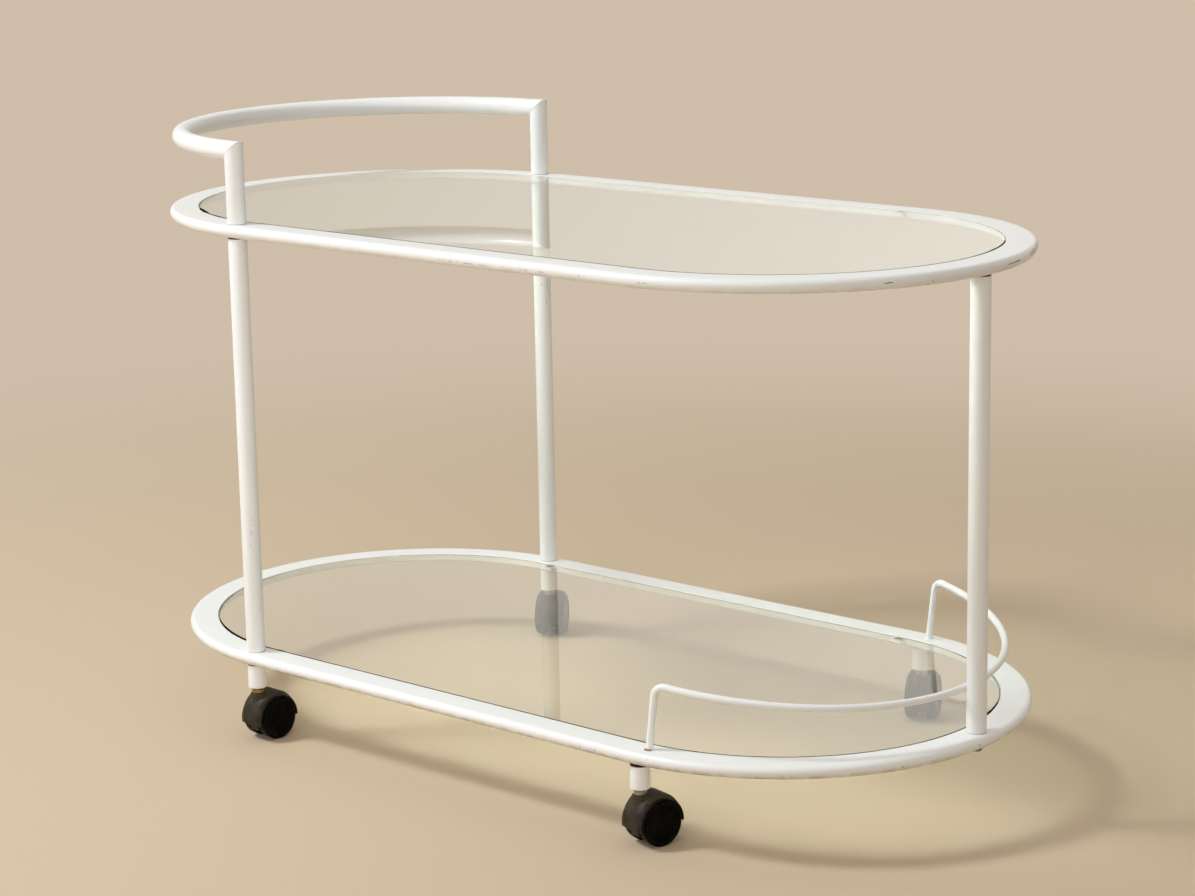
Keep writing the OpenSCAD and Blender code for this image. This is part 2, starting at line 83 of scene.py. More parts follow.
def mathNode(operation, *values, clamp=False):
    return operationNode("ShaderNodeMath", values, operation=operation, use_clamp=clamp)


def times(first, second):
    return mathNode("MULTIPLY", first, second)


def vectorNode(operation, *values):
    return operationNode("ShaderNodeVectorMath", values, operation=operation)


def mapRange(value, low, high, toLow=0.0, toHigh=1.0):
    values = (value, low, high, toLow, toHigh)
    return operationNode("ShaderNodeMapRange", values, clamp=True)


def mixColour(factor, first, second):
    # a colour mix has its two colours at inputs 6 and 7
    inputs = {0: factor, 6: first, 7: second}
    return addNode(factor.id_data, "ShaderNodeMix", inputs, data_type="RGBA").outputs[2]


def layered(colour, layers):
    # lays each (mask, amount, colour) over what is there
    for mask, amount, over in layers:
        colour = mixColour(times(mask, amount), colour, over)
    return colour


def noiseNode(coords, scale, detail, roughness=0.55, distortion=0.0, output="Fac"):
    return addNode(coords.id_data, "ShaderNodeTexNoise", {
        "Vector": coords, "Scale": scale, "Detail": detail,
        "Roughness": roughness, "Distortion": distortion,
    }).outputs[output]


def facingUp(tree):
    # 1 where a surface looks straight up, -1 where it looks straight down
    normal = tree.nodes.new("ShaderNodeNewGeometry").outputs["Normal"]
    return addNode(tree, "ShaderNodeSeparateXYZ", {"Vector": normal}).outputs["Z"]


def startGroup(name, inputs, outputs, kind="ShaderNodeTree"):
    # an input is listed with its usual value or, like an output, with its kind of socket
    tree = bpy.data.node_groups.new(name, kind)
    for label, value in inputs.items():
        hasValue = isinstance(value, float)
        socket = tree.interface.new_socket(
            name=label, in_out="INPUT", socket_type="NodeSocket" + ("Float" if hasValue else value))
        if hasValue:
            socket.default_value = value
    for label, socketKind in outputs.items():
        tree.interface.new_socket(
            name=label, in_out="OUTPUT", socket_type="NodeSocket" + socketKind)
    return tree, tree.nodes.new("NodeGroupInput").outputs, tree.nodes.new("NodeGroupOutput").inputs


def useGroup(group, coords, inputs):
    inputs = {"Coords": coords, **inputs}
    return addNode(coords.id_data, "ShaderNodeGroup", inputs, node_tree=group).outputs


def maskOf(group, coords, inputs):
    return useGroup(group, coords, inputs)["Mask"]


# shared surface effects

def makePaintSkinGroup():
    # sprayed enamel: a fine orange peel, slow waves, and a tone that drifts a little
    tree, given, result = startGroup("paintSkin", {
        "Coords": "Vector", "Peel Size": 260.0, "Peel Depth": 0.35, "Wave Size": 24.0,
        "Wave Depth": 0.9, "Tone Size": 5.0,
    }, {"Height": "Float", "Tone": "Float"})
    peel = noiseNode(given["Coords"], given["Peel Size"], 2.0)
    wave = noiseNode(given["Coords"], given["Wave Size"], 2.0)
    fine = times(peel, given["Peel Depth"])
    height = mathNode("MULTIPLY_ADD", wave, given["Wave Depth"], fine)
    setInput(result["Height"], height)
    tone = noiseNode(given["Coords"], given["Tone Size"], 4.0, 0.6)
    setInput(result["Tone"], mapRange(tone, 0.3, 0.7))
    return tree


def makeSpeckleGroup():
    # small random flecks: Share says how few of the cells hold one
    tree, given, result = startGroup("speckle", {
        "Coords": "Vector", "Cell Size": 60.0, "Share": 0.04, "Fleck Size": 0.1, "Crispness": 0.55,
    }, {"Mask": "Float"})
    finer = times(given["Cell Size"], 9.0)      # noise that frays the flecks' outlines
    wobble = noiseNode(given["Coords"], finer, 2.0, output="Color")
    shifted = vectorNode("MULTIPLY_ADD", wobble, (1.6 * mm,) * 3, given["Coords"])
    cells = addNode(tree, "ShaderNodeTexVoronoi", {"Vector": shifted, "Scale": given["Cell Size"]})
    pick = addNode(tree, "ShaderNodeSeparateColor", {"Color": cells.outputs["Color"]})
    chosen = mathNode("LESS_THAN", pick, given["Share"])
    size = given["Fleck Size"]
    near = mapRange(cells.outputs["Distance"], size, times(size, given["Crispness"]))
    setInput(result["Mask"], times(chosen, near))
    return tree


def makeMarkGroup():
    # one placed mark: a ragged stroke from one point to another, thinner at its ends, and
    # broken up where Dashes is low
    tree, given, result = startGroup("placedMark", {
        "Coords": "Vector", "From": "Vector", "To": "Vector", "Radius": 0.001, "Rough": 0.5,
        "Raggedness": 1.3, "Thinning": 0.7, "Dashes": 1.0,
    }, {"Mask": "Float"})
    stroke = vectorNode("SUBTRACT", given["To"], given["From"])
    away = vectorNode("SUBTRACT", given["Coords"], given["From"])
    strokeSquare = vectorNode("DOT_PRODUCT", stroke, stroke).outputs["Value"]
    reach = mathNode("ADD", strokeSquare, 1e-12)      # never zero, for a mark that is a dot
    awayAlong = vectorNode("DOT_PRODUCT", away, stroke).outputs["Value"]
    along = mathNode("DIVIDE", awayAlong, reach, clamp=True)
    nearest = vectorNode("MULTIPLY", stroke, along)
    gap = vectorNode("SUBTRACT", away, nearest)
    distance = vectorNode("LENGTH", gap).outputs["Value"]
    fromMiddle = mathNode("ABSOLUTE", mathNode("MULTIPLY_ADD", along, 2.0, -1.0))
    atEnds = mathNode("POWER", fromMiddle, 3.0)
    thinner = mathNode("MULTIPLY_ADD", atEnds, given["Thinning"], 1.0)
    scaled = times(mathNode("DIVIDE", distance, given["Radius"]), thinner)
    ragged = mathNode("ADD", times(given["Rough"], given["Raggedness"]), scaled)
    setInput(result["Mask"], times(mapRange(ragged, 1.65, 1.35), given["Dashes"]))
    return tree


def makeDustGroup():
    # dust settles on faces that look up, in soft uneven patches
    tree, given, result = startGroup("dust", {
        "Coords": "Vector", "Patch Size": 30.0, "Grit Size": 700.0,
    }, {"Mask": "Float"})
    patch = noiseNode(given["Coords"], given["Patch Size"], 4.0, 0.6)
    grit = noiseNode(given["Coords"], given["Grit Size"], 2.0)
    cloud = times(mapRange(patch, 0.35, 0.7), mapRange(grit, 0.3, 0.65))
    setInput(result["Mask"], times(mapRange(facingUp(tree), -0.1, 0.9), cloud))
    return tree


def makeScratchGroup():
    # fine rubbed lines, from noise drawn out along one axis
    tree, given, result = startGroup("rubbedLines", {
        "Coords": "Vector", "Stretch": "Vector", "Amount": 0.5,
    }, {"Mask": "Float"})
    drawn = vectorNode("MULTIPLY", given["Coords"], given["Stretch"])
    lines = noiseNode(drawn, 1.0, 5.0, 0.7, 0.4)
    limit = mathNode("SUBTRACT", 0.78, times(given["Amount"], 0.2))
    setInput(result["Mask"], mapRange(lines, limit, mathNode("ADD", limit, 0.08)))
    return tree


def makeUndersideGroup():
    # darker in patches where a surface looks down: grime, and painted shade on the downward faces
    tree, given, result = startGroup("undersideGrimeAndShade", {
        "Coords": "Vector", "Patch Size": 75.0,
    }, {"Mask": "Float"})
    patch = noiseNode(given["Coords"], given["Patch Size"], 5.0, 0.7)
    cloud = mapRange(patch, 0.4, 0.6, 0.25, 1.0)
    setInput(result["Mask"], times(mapRange(facingUp(tree), -0.05, -0.75), cloud))
    return tree


paintSkin = makePaintSkinGroup()
speckle = makeSpeckleGroup()
placedMark = makeMarkGroup()
dust = makeDustGroup()
rubbedLines = makeScratchGroup()
undersideGrimeAndShade = makeUndersideGroup()
print("surface groups built")


# materials

def startMaterial(name):
    material = bpy.data.materials.new(name)
    material.use_nodes = True
    tree = material.node_tree
    shader = tree.nodes["Principled BSDF"]
    coords = tree.nodes.new("ShaderNodeTexCoord").outputs["Object"]
    return material, tree, shader, coords


def bumped(height, distance, strength=0.5):
    return addNode(height.id_data, "ShaderNodeBump", {
        "Height": height, "Distance": distance, "Strength": strength}).outputs["Normal"]


def setShader(shader, values):
    for name, value in values.items():
        setInput(shader.inputs[name], value)


# marks seen on the paint: from, to, radius in mm, and what the mark is
paintMarks = {
    "upper_ring": [
        ((561.9, 24, 609.7), (560.2, 39, 610.0), 0.5, "rust"),      # long scratch on the right nose
        ((560.2, 39, 610.0), (557.6, 54.5, 610.3), 0.8, "chip"),
        ((523.9, -141.9, 609.6), (528.9, -133.4, 610.2), 0.6, "chip"),
        ((546.8, -90.3, 606.7), (547.4, -88.9, 606.7), 1.3, "scuff"),
        ((542.6, -93.6, 603.6), (543.2, -92.3, 603.6), 1.2, "chip"),
        ((549.1, 86.8, 611.0), (539.0, 112.5, 612.6), 3.6, "worn"),
        ((539.0, 112.5, 612.6), (524.8, 137.6, 615.1), 2.0, "worn"),
        ((36, -277.4, 608.2), (112, -277.3, 607.5), 1.1, "scuffRow"),
        ((132, -277.6, 608.6), (192, -277.5, 608.3), 0.9, "scuffRow"),
        ((238.3, -277.6, 608.7), (238.8, -277.6, 608.7), 0.9, "chip"),
        ((309.0, -276.9, 609.4), (330.5, -274.0, 609.1), 1.0, "scuffRow"),
    ],
    "lower_ring": [
        ((-95.4, 244.1, 109), (-94.8, 244.3, 109), 1.3, "chip"),
        ((562.3, -19.7, 102.5), (562.4, -19.0, 102.5), 1.0, "chip"),
        ((534.5, -121.4, 99.9), (534.8, -120.8, 99.9), 1.2, "chip"),
        ((226.4, -277.5, 100.5), (227.4, -277.5, 100.5), 0.9, "rust"),
        ((248.0, -277.8, 101.9), (248.4, -277.8, 101.2), 1.0, "chip"),
        ((317.7, -275.7, 104.9), (318.4, -275.5, 104.9), 0.7, "scuff"),
        ((-25.5, -277.8, 101.8), (-25.0, -277.8, 101.8), 0.8, "chip"),
        ((303.6, -262.4, 109.2), (305.4, -263.8, 109.2), 1.0, "rust"),     # round the rail's front foot
    ],
    "post_front": [
        ((-286.4, -266.8, 271.5), (-286.4, -266.8, 269.5), 0.8, "scuff"),
        ((-287.2, -267.8, 240.5), (-287.2, -267.8, 239.5), 0.8, "scuff"),
        ((-286.6, -267.2, 258), (-286.6, -267.2, 252), 0.5, "scuff"),
    ],
    "post_back": [
        ((-288.7, 251.0, 476.8), (-288.7, 251.0, 475.2), 1.0, "scuff"),
        ((-284.4, 257.0, 486), (-284.3, 258.0, 470), 0.9, "stain"),
        ((-284.2, 258.8, 472), (-284.0, 261.0, 455), 0.8, "stain"),
        ((-285.2, 255.6, 462), (-285.0, 256.0, 450), 0.6, "stain"),
    ],
    "gallery_rail": [
        ((303.2, -260.4, 109.9), (305.2, -262.6, 109.7), 2.1, "rust"),
        ((305.2, -262.6, 109.7), (309.0, -263.1, 109.6), 1.3, "rust"),
        ((309.0, -263.1, 109.6), (311.8, -260.6, 109.7), 1.6, "rust"),
    ],
}
# what a mark looks like: its colour, and how much of the paint it hides
markColours = {
    "rust": ((0.230, 0.085, 0.018, 1), 0.97),
    "worn": ((0.36, 0.25, 0.16, 1), 0.60),
    "scuff": ((0.33, 0.31, 0.28, 1), 0.60),
    "scuffRow": ((0.36, 0.34, 0.31, 1), 0.60),
    "chip": ((0.055, 0.045, 0.038, 1), 0.92),
    "stain": ((0.46, 0.35, 0.15, 1), 0.50),
}

enamelLook = {
    "colour": (0.868, 0.866, 0.850, 1),
    "olderColour": (0.845, 0.832, 0.795, 1), "older": 0.45,
    "dustColour": (0.55, 0.50, 0.42, 1), "dust": 0.06, "dustPatch": 26.0,
    "fleckColour": (0.30, 0.26, 0.21, 1), "flecks": 0.55,
    "fleckCell": 55.0, "fleckShare": 0.012, "fleckSize": 0.045,
    "rubbed": 0.05, "rubStretch": (38, 38, 420), "rubAmount": 0.25,
    # brown on downward faces: grime, and painted shade, strongest under the lower ring
    "grimeAndShadeColour": (0.42, 0.31, 0.21, 1),
    "grimeAndShade": {"lower_ring": 0.66, "upper_ring": 0.24}, "otherGrimeAndShade": 0.12,
    "raggedSize": 900.0, "dashSize": 170.0,     # noise at the marks' edges, and along a scuffed row
    "roughness": 0.33, "worn": 0.4,     # how much duller the paint is where it is worn
    "coat": 0.30, "coatRoughness": 0.14,
    "peelDepth": 0.00006, "wearDepth": 1.2,
}


def makeEnamel(node):
    look = enamelLook
    material, tree, shader, coords = startMaterial("enamel_" + node)
    skin = useGroup(paintSkin, coords, {})
    wear = maskOf(speckle, coords, {
        "Cell Size": look["fleckCell"], "Share": look["fleckShare"], "Fleck Size": look["fleckSize"]})
    settled = maskOf(dust, coords, {"Patch Size": look["dustPatch"]})
    rubbed = maskOf(rubbedLines, coords, {
        "Stretch": look["rubStretch"], "Amount": look["rubAmount"]})
    grimeAndShade = maskOf(undersideGrimeAndShade, coords, {})
    # the last layer darkens downward faces: grime, and painted shade
    colour = layered(look["colour"], (
        (skin["Tone"], look["older"], look["olderColour"]),
        (settled, look["dust"], look["dustColour"]), (wear, look["flecks"], look["fleckColour"]),
        (rubbed, look["rubbed"], look["fleckColour"]),
        (grimeAndShade, look["grimeAndShade"].get(node, look["otherGrimeAndShade"]), look["grimeAndShadeColour"])))
    rough = noiseNode(coords, look["raggedSize"], 3.0, 0.7)
    dashes = mapRange(noiseNode(coords, look["dashSize"], 3.0, 0.7), 0.49, 0.56)
    for start, end, radius, kind in paintMarks.get(node, []):
        markColour, hiding = markColours[kind]
        mark = maskOf(placedMark, coords, {
            "From": Vector(start) * mm, "To": Vector(end) * mm, "Radius": radius * mm,
            "Rough": rough, "Dashes": dashes if kind == "scuffRow" else 1.0})
        colour = layered(colour, ((mark, hiding, markColour),))
        if kind != "worn":
            wear = mathNode("MAXIMUM", wear, mark)
    clean = mapRange(skin["Tone"], 0.0, 1.0, look["roughness"], look["roughness"] + 0.06)
    height = mathNode("SUBTRACT", skin["Height"], times(wear, look["wearDepth"]))
    setShader(shader, {
        "Base Color": colour, "Roughness": mathNode("MULTIPLY_ADD", wear, look["worn"], clean),
        "Coat Weight": look["coat"], "Coat Roughness": look["coatRoughness"],
        "Normal": bumped(height, look["peelDepth"], 0.6)})
    return material


glassLook = {
    # the lower shelf is tinted warmer than the upper: painted reflection of the darker, warmer
    # surroundings low down
    "faceColour": {"upper": (0.912, 0.922, 0.878, 1), "lower": (0.912, 0.900, 0.850, 1)},
    "edgeColour": (0.46, 0.58, 0.50, 1),
    "shadowColour": (0.73, 0.765, 0.735, 1),
    "ior": 1.52,
    "dust": 0.05, "smear": 0.02,    # how much each of them roughens the glass
}


def makeGlass(shelf):
    look = glassLook
    material, tree, shader, coords = startMaterial(shelf + "Glass")
    side = mapRange(mathNode("ABSOLUTE", facingUp(tree)), 0.95, 0.5)
    settled = maskOf(dust, coords, {"Patch Size": 14.0, "Grit Size": 500.0})
    smear = maskOf(rubbedLines, coords, {"Stretch": (26, 34, 30), "Amount": 0.4})
    setShader(shader, {
        "Base Color": mixColour(side, look["faceColour"][shelf], look["edgeColour"]),
        "Roughness": mathNode("ADD", times(settled, look["dust"]), times(smear, look["smear"])),
        "Transmission Weight": 1.0, "IOR": look["ior"]})
    # light passes to what stands below, as through a real shelf
    clear = addNode(tree, "ShaderNodeBsdfTransparent", {"Color": look["shadowColour"]})
    path = tree.nodes.new("ShaderNodeLightPath")
    blend = addNode(tree, "ShaderNodeMixShader", {
        0: path.outputs["Is Shadow Ray"], 1: shader, 2: clear})
    setInput(tree.nodes["Material Output"].inputs["Surface"], blend)
    return material


# how much dust dulls a plastic, and how much scratches tint, dull and dent it
plasticWear = {"dustDulls": 0.3, "tint": 0.25, "scratchDulls": 0.15, "dent": 0.6}


def makePlastic(name, look):
    material, tree, shader, coords = startMaterial(name)
    settled = maskOf(dust, coords, {"Patch Size": look["dustPatch"], "Grit Size": 900.0})
    rubbed = maskOf(rubbedLines, coords, {
        "Stretch": look["scratchStretch"], "Amount": look["scratches"]})
    tone = noiseNode(coords, 60.0, 4.0, 0.6)
    colour = mixColour(mapRange(tone, 0.35, 0.65), look["colour"], look["otherColour"])
    colour = layered(colour, (
        (settled, look["dust"], look["dustColour"]),
        (rubbed, plasticWear["tint"], look["scratchColour"])))
    gloss = mapRange(tone, 0.3, 0.7, look["roughness"], look["roughness"] + 0.08)
    for mask, change in ((settled, "dustDulls"), (rubbed, "scratchDulls")):
        gloss = mathNode("MULTIPLY_ADD", mask, plasticWear[change], gloss)
    grain = noiseNode(coords, look["grainSize"], 2.0)
    height = mathNode("SUBTRACT", grain, times(rubbed, plasticWear["dent"]))
    setShader(shader, {
        "Base Color": colour, "Roughness": gloss,
        "Specular IOR Level": look["specular"], "Normal": bumped(height, look["grainDepth"])})
    return material


hoodLook = {
    "front": (0.019, 0.0150, 0.0105, 1),        # satin sides and front
    "frontWorn": (0.040, 0.031, 0.022, 1),
    # the crown's brown is dust, and painted reflection of the warm surroundings
    "crown": (0.056, 0.043, 0.023, 1), "crownTint": 0.85,       # browner and duller on top
    # near-black side faces: painted shade, where the hood's sides look away from the light
    "brim": (0.0016, 0.0014, 0.0013, 1),
    "dustColour": (0.16, 0.12, 0.075, 1), "dust": 0.35, "dustPatch": 90.0, "dustDulls": 0.12,
    "scratchColour": (0.14, 0.13, 0.12, 1), "scratches": 0.4, "scratchStretch": (160, 160, 700),
    "satin": 0.42, "dull": 0.62, "glossy": 0.24,        # roughness in front, on top, at the brim
    "specular": 0.18, "grainSize": 1500.0, "grainDepth": 0.00007,
}


def makeHoodPlastic():
    # the hood's mesh says where its crown and its side edges are
    look = hoodLook
    material, tree, shader, coords = startMaterial("hoodPlastic")
    crown, brim = (
        addNode(tree, "ShaderNodeAttribute", attribute_name=name).outputs["Fac"]
        for name in ("crown", "brim"))
    settled = maskOf(dust, coords, {"Patch Size": look["dustPatch"], "Grit Size": 900.0})
    rubbed = maskOf(rubbedLines, coords, {
        "Stretch": look["scratchStretch"], "Amount": look["scratches"]})
    tone = noiseNode(coords, 75.0, 4.0, 0.65)
    colour = mixColour(mapRange(tone, 0.42, 0.66), look["front"], look["frontWorn"])
    # the crown's brown is dust and painted reflection; the near-black brim is painted shade on the hood's
    # sides
    colour = layered(colour, (
        (crown, look["crownTint"], look["crown"]), (settled, look["dust"], look["dustColour"]),
        (rubbed, plasticWear["tint"], look["scratchColour"]), (brim, 1.0, look["brim"])))
    gloss = mathNode("MULTIPLY_ADD", crown, look["dull"] - look["satin"], look["satin"])
    gloss = mathNode("MULTIPLY_ADD", settled, look["dustDulls"], gloss)
    glossier = mathNode("SUBTRACT", look["glossy"], gloss)
    grain = noiseNode(coords, look["grainSize"], 2.0)
    height = times(grain, mathNode("SUBTRACT", 1.0, brim))
    setShader(shader, {
        "Base Color": colour, "Roughness": mathNode("MULTIPLY_ADD", brim, glossier, gloss),
        "Specular IOR Level": look["specular"], "Normal": bumped(height, look["grainDepth"])})
    return material


def makeMetal(name, look):
    material, tree, shader, coords = startMaterial(name)
    tarnish = noiseNode(coords, look["tarnishSize"], 5.0, 0.65)
    flecks = maskOf(speckle, coords, {"Cell Size": 300.0, "Share": 0.1, "Fleck Size": 0.35})
    rings = maskOf(rubbedLines, coords, {"Stretch": (60, 60, 1500), "Amount": 0.8})
    colour = mixColour(mapRange(tarnish, 0.4, 0.7), look["colour"], look["tarnishColour"])
    height = mathNode("ADD", rings, times(tarnish, 0.5))
    setShader(shader, {
        "Base Color": layered(colour, ((flecks, 0.5, markColours["rust"][0]),)),
        "Roughness": mapRange(tarnish, 0.35, 0.7, look["roughness"], look["roughness"] + 0.2),
        "Metallic": 1.0, "Normal": bumped(height, metalDepth)})
    return material


plasticLooks = {
    "wheel": {
        "colour": (0.0010, 0.0009, 0.0009, 1), "otherColour": (0.0016, 0.0013, 0.0012, 1),
        "dustColour": (0.06, 0.045, 0.03, 1), "dust": 0.16, "dustPatch": 120.0,
        "scratchColour": (0.05, 0.045, 0.04, 1), "scratches": 0.1, "scratchStretch": (300, 300, 300),
        "roughness": 0.22, "grainSize": 1200.0, "grainDepth": 0.00003, "specular": 0.055,
    },
    "plug": {
        "colour": (0.010, 0.006, 0.005, 1), "otherColour": (0.030, 0.009, 0.006, 1),
        "dustColour": (0.10, 0.06, 0.04, 1), "dust": 0.25, "dustPatch": 200.0,
        "scratchColour": (0.08, 0.06, 0.05, 1), "scratches": 0.4, "scratchStretch": (200, 200, 900),
        "roughness": 0.5, "grainSize": 1500.0, "grainDepth": 0.00005, "specular": 0.3,
    },
    "pad": {
        "colour": (0.78, 0.60, 0.40, 1), "otherColour": (0.66, 0.48, 0.29, 1),
        "dustColour": (0.5, 0.42, 0.3, 1), "dust": 0.3, "dustPatch": 300.0,
        "scratchColour": (0.2, 0.12, 0.06, 1), "scratches": 0.5, "scratchStretch": (500, 500, 500),
        "roughness": 0.6, "grainSize": 2200.0, "grainDepth": 0.00012, "specular": 0.4,
    },
}
# near-black with almost no shine: painted shade for the gap round the glass
plasticLooks["seam"] = {
    **plasticLooks["plug"], "colour": (0.004, 0.0035, 0.003, 1), "otherColour": (0.007, 0.006, 0.005, 1),
    "dust": 0.0, "scratches": 0.0, "roughness": 0.85, "specular": 0.03,
}
# plug flanges under the feet, painted over, in a grey that is painted shade where the foot meets the ring
plasticLooks["flangeOverpaintAndShade"] = {
    **plasticLooks["plug"], "colour": (0.58, 0.565, 0.54, 1), "otherColour": (0.50, 0.48, 0.45, 1),
    "dust": 0.1,
}
metalDepth = 0.00005        # of turning marks and tarnish
metalLooks = {
    "zinc": {"colour": (0.46, 0.44, 0.41, 1), "tarnishColour": (0.26, 0.23, 0.19, 1),
             "tarnishSize": 160.0, "roughness": 0.34},
    "blackSteel": {"colour": (0.050, 0.044, 0.040, 1), "tarnishColour": (0.075, 0.040, 0.024, 1),
                   "tarnishSize": 260.0, "roughness": 0.45},
    # darker and browner than clean brass: dull brass, and painted shade on the stem
    "brassy": {"colour": (0.46, 0.35, 0.17, 1), "tarnishColour": (0.17, 0.12, 0.06, 1),
               "tarnishSize": 220.0, "roughness": 0.26},
}
plastics = {name: makePlastic(name + "Plastic", look) for name, look in plasticLooks.items()}
plastics["hood"] = makeHoodPlastic()
metals = {name: makeMetal(name + "Metal", look) for name, look in metalLooks.items()}
print("materials built")


# mesh helpers

def dressMesh(mesh, material):
    mesh.materials.clear()
    mesh.materials.append(material)


def finishPiece(name, shape, material, replaced=(), body="frame", sharp=40):
    bmesh.ops.recalc_face_normals(shape, faces=shape.faces)
    piece = looseObject(name, shape)
    piece.data.shade_smooth()
    piece.data.set_sharp_from_angle(angle=math.radians(sharp))
    dressMesh(piece.data, material)
    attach(piece, body)
    if replaced:
        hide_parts(*replaced)


def looseObject(name, shape):
    mesh = bpy.data.meshes.new(name)
    shape.to_mesh(mesh)
    shape.free()
    piece = bpy.data.objects.new(name, mesh)
    bpy.context.scene.collection.objects.link(piece)
    return piece


def evaluatedMesh(piece):
    # what the piece's modifiers make, as a plain mesh; the piece itself is removed
    graph = bpy.context.evaluated_depsgraph_get()
    mesh = bpy.data.meshes.new_from_object(piece.evaluated_get(graph))
    bpy.data.objects.remove(piece)
    return mesh


def joined(mesh, matrix):
    # the mesh as a bmesh with its doubled points joined, moved by the matrix
    shape = bmesh.new()
    shape.from_mesh(mesh)
    bmesh.ops.remove_doubles(shape, verts=shape.verts, dist=0.001 * mm)
    return moved(shape, matrix)


def moved(shape, matrix):
    bmesh.ops.transform(shape, matrix=matrix, verts=shape.verts)
    return shape


def runTree(piece, tree, values):
    # puts a geometry tree on a piece with named values, and returns the shape it makes
    modifier = piece.modifiers.new("build", "NODES")
    modifier.node_group = tree
    for item in tree.interface.items_tree:
        if item.item_type == "SOCKET" and item.in_out == "INPUT" and item.name in values:
            modifier[item.identifier] = values[item.name]
    mesh = evaluatedMesh(piece)
    shape = joined(mesh, Matrix())
    bpy.data.meshes.remove(mesh)
    return shape


def loopObject(name, points):
    # an edge loop, as the section or the line that a tree sweeps
    shape = bmesh.new()
    loop = [shape.verts.new(point) for point in points]
    for point, follow in zip(loop, loop[1:] + loop[:1]):
        shape.edges.new((point, follow))
    return looseObject(name, shape)


def aroundZ(turn):
    return Vector((math.cos(turn), math.sin(turn), 0))


def fullTurn(steps):
    return [2 * math.pi * step / steps for step in range(steps)]


def roundCorners(corners, steps, closed=True):
    # each corner is (x, y, radius); a radius of 0 keeps it sharp
    outline = []
    for index, (x, y, radius) in enumerate(corners):
        here = Vector((x, y))
        if radius == 0 or (not closed and index in (0, len(corners) - 1)):
            outline.append(here)
            continue
        before = (Vector(corners[index - 1][:2]) - here).normalized()
        after = (Vector(corners[(index + 1) % len(corners)][:2]) - here).normalized()
        half = before.angle(after) / 2
        middle = here + (before + after).normalized() * radius / math.sin(half)
        start = here + before * radius / math.tan(half) - middle
        end = here + after * radius / math.tan(half) - middle
        swing = start.angle(end)
        for step in range(steps + 1):
            part = step / steps
            arm = (start * math.sin((1 - part) * swing) + end * math.sin(part * swing)) / math.sin(swing)
            outline.append(middle + arm)
    return outline


def lathe(outline, steps):
    # turns (radius, height) points round Z
    shape = bmesh.new()
    rows = [[shape.verts.new((radius * math.cos(turn), radius * math.sin(turn), z))
             for radius, z in outline] for turn in fullTurn(steps)]
    for row, other in zip(rows, rows[1:] + rows[:1]):
        for index in range(len(outline) - 1):
            shape.faces.new((row[index], row[index + 1], other[index + 1], other[index]))
    bmesh.ops.remove_doubles(shape, verts=shape.verts, dist=0.00001 * mm)       # on the axis
    return shape


def skinRows(shape, rows):
    # faces between each closed row of points and the next, and one on each end
    for row, other in zip(rows, rows[1:]):
        for index, point in enumerate(row):
            follow = (index + 1) % len(row)
            shape.faces.new((point, row[follow], other[follow], other[index]))
    shape.faces.new(rows[0])
    shape.faces.new(rows[-1])
    return shape


def sweepRound(stations, steps=64):
    # stations are (centre, side, up, radius) and, where the ring of points is slid onto a
    # plane through the centre, that plane's normal
    shape = bmesh.new()
    rows = []
    for centre, side, up, radius, *cuts in stations:
        row = []
        for turn in fullTurn(steps):
            point = centre + (side * math.cos(turn) + up * math.sin(turn)) * radius
            for cut in cuts:
                along = side.cross(up)
                point += along * (cut.dot(centre - point) / cut.dot(along))
            row.append(shape.verts.new(point))
        rows.append(row)
    return skinRows(shape, rows)


def framesAlong(points):
    # side and up vectors carried along a path with as little twist as can be
    tangents = []
    for index in range(len(points)):
        before = points[max(index - 1, 0)]
        after = points[min(index + 1, len(points) - 1)]
        tangents.append((after - before).normalized())
    side = tangents[0].orthogonal().normalized()
    frames = []
    for index, tangent in enumerate(tangents):
        if index:
            side = tangents[index - 1].rotation_difference(tangent) @ side
        side = (side - tangent * side.dot(tangent)).normalized()
        frames.append((side, tangent.cross(side)))
    return frames


# shelf rings, swept by a node tree round the shelf's outline

ringLow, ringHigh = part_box("upper_ring")
ringForm = {
    "width": 34 * mm,
    "topEdge": 6 * mm,      # outer top edge
    "lowEdge": 9 * mm,      # outer bottom edge
    "innerEdge": 3 * mm,    # inner bottom edge
    "lip": 0.5 * mm,        # paint rolled over the inner top edge
    "roundSteps": 256,
    "edgeSteps": 10,
}
halfWidth = ringHigh.y
openingRadius = halfWidth - ringForm["width"]
endX = ringHigh.x - halfWidth
ringHeight = ringHigh.z - ringLow.z


def endTree(tree, given, geometry, result):
    # real faces in the piece's own material
    whole = addNode(tree, "GeometryNodeRealizeInstances", {"Geometry": geometry})
    painted = addNode(tree, "GeometryNodeSetMaterial", {
        "Geometry": whole, "Material": given["Finish"]})
    setInput(result["Mesh"], painted)
    return tree


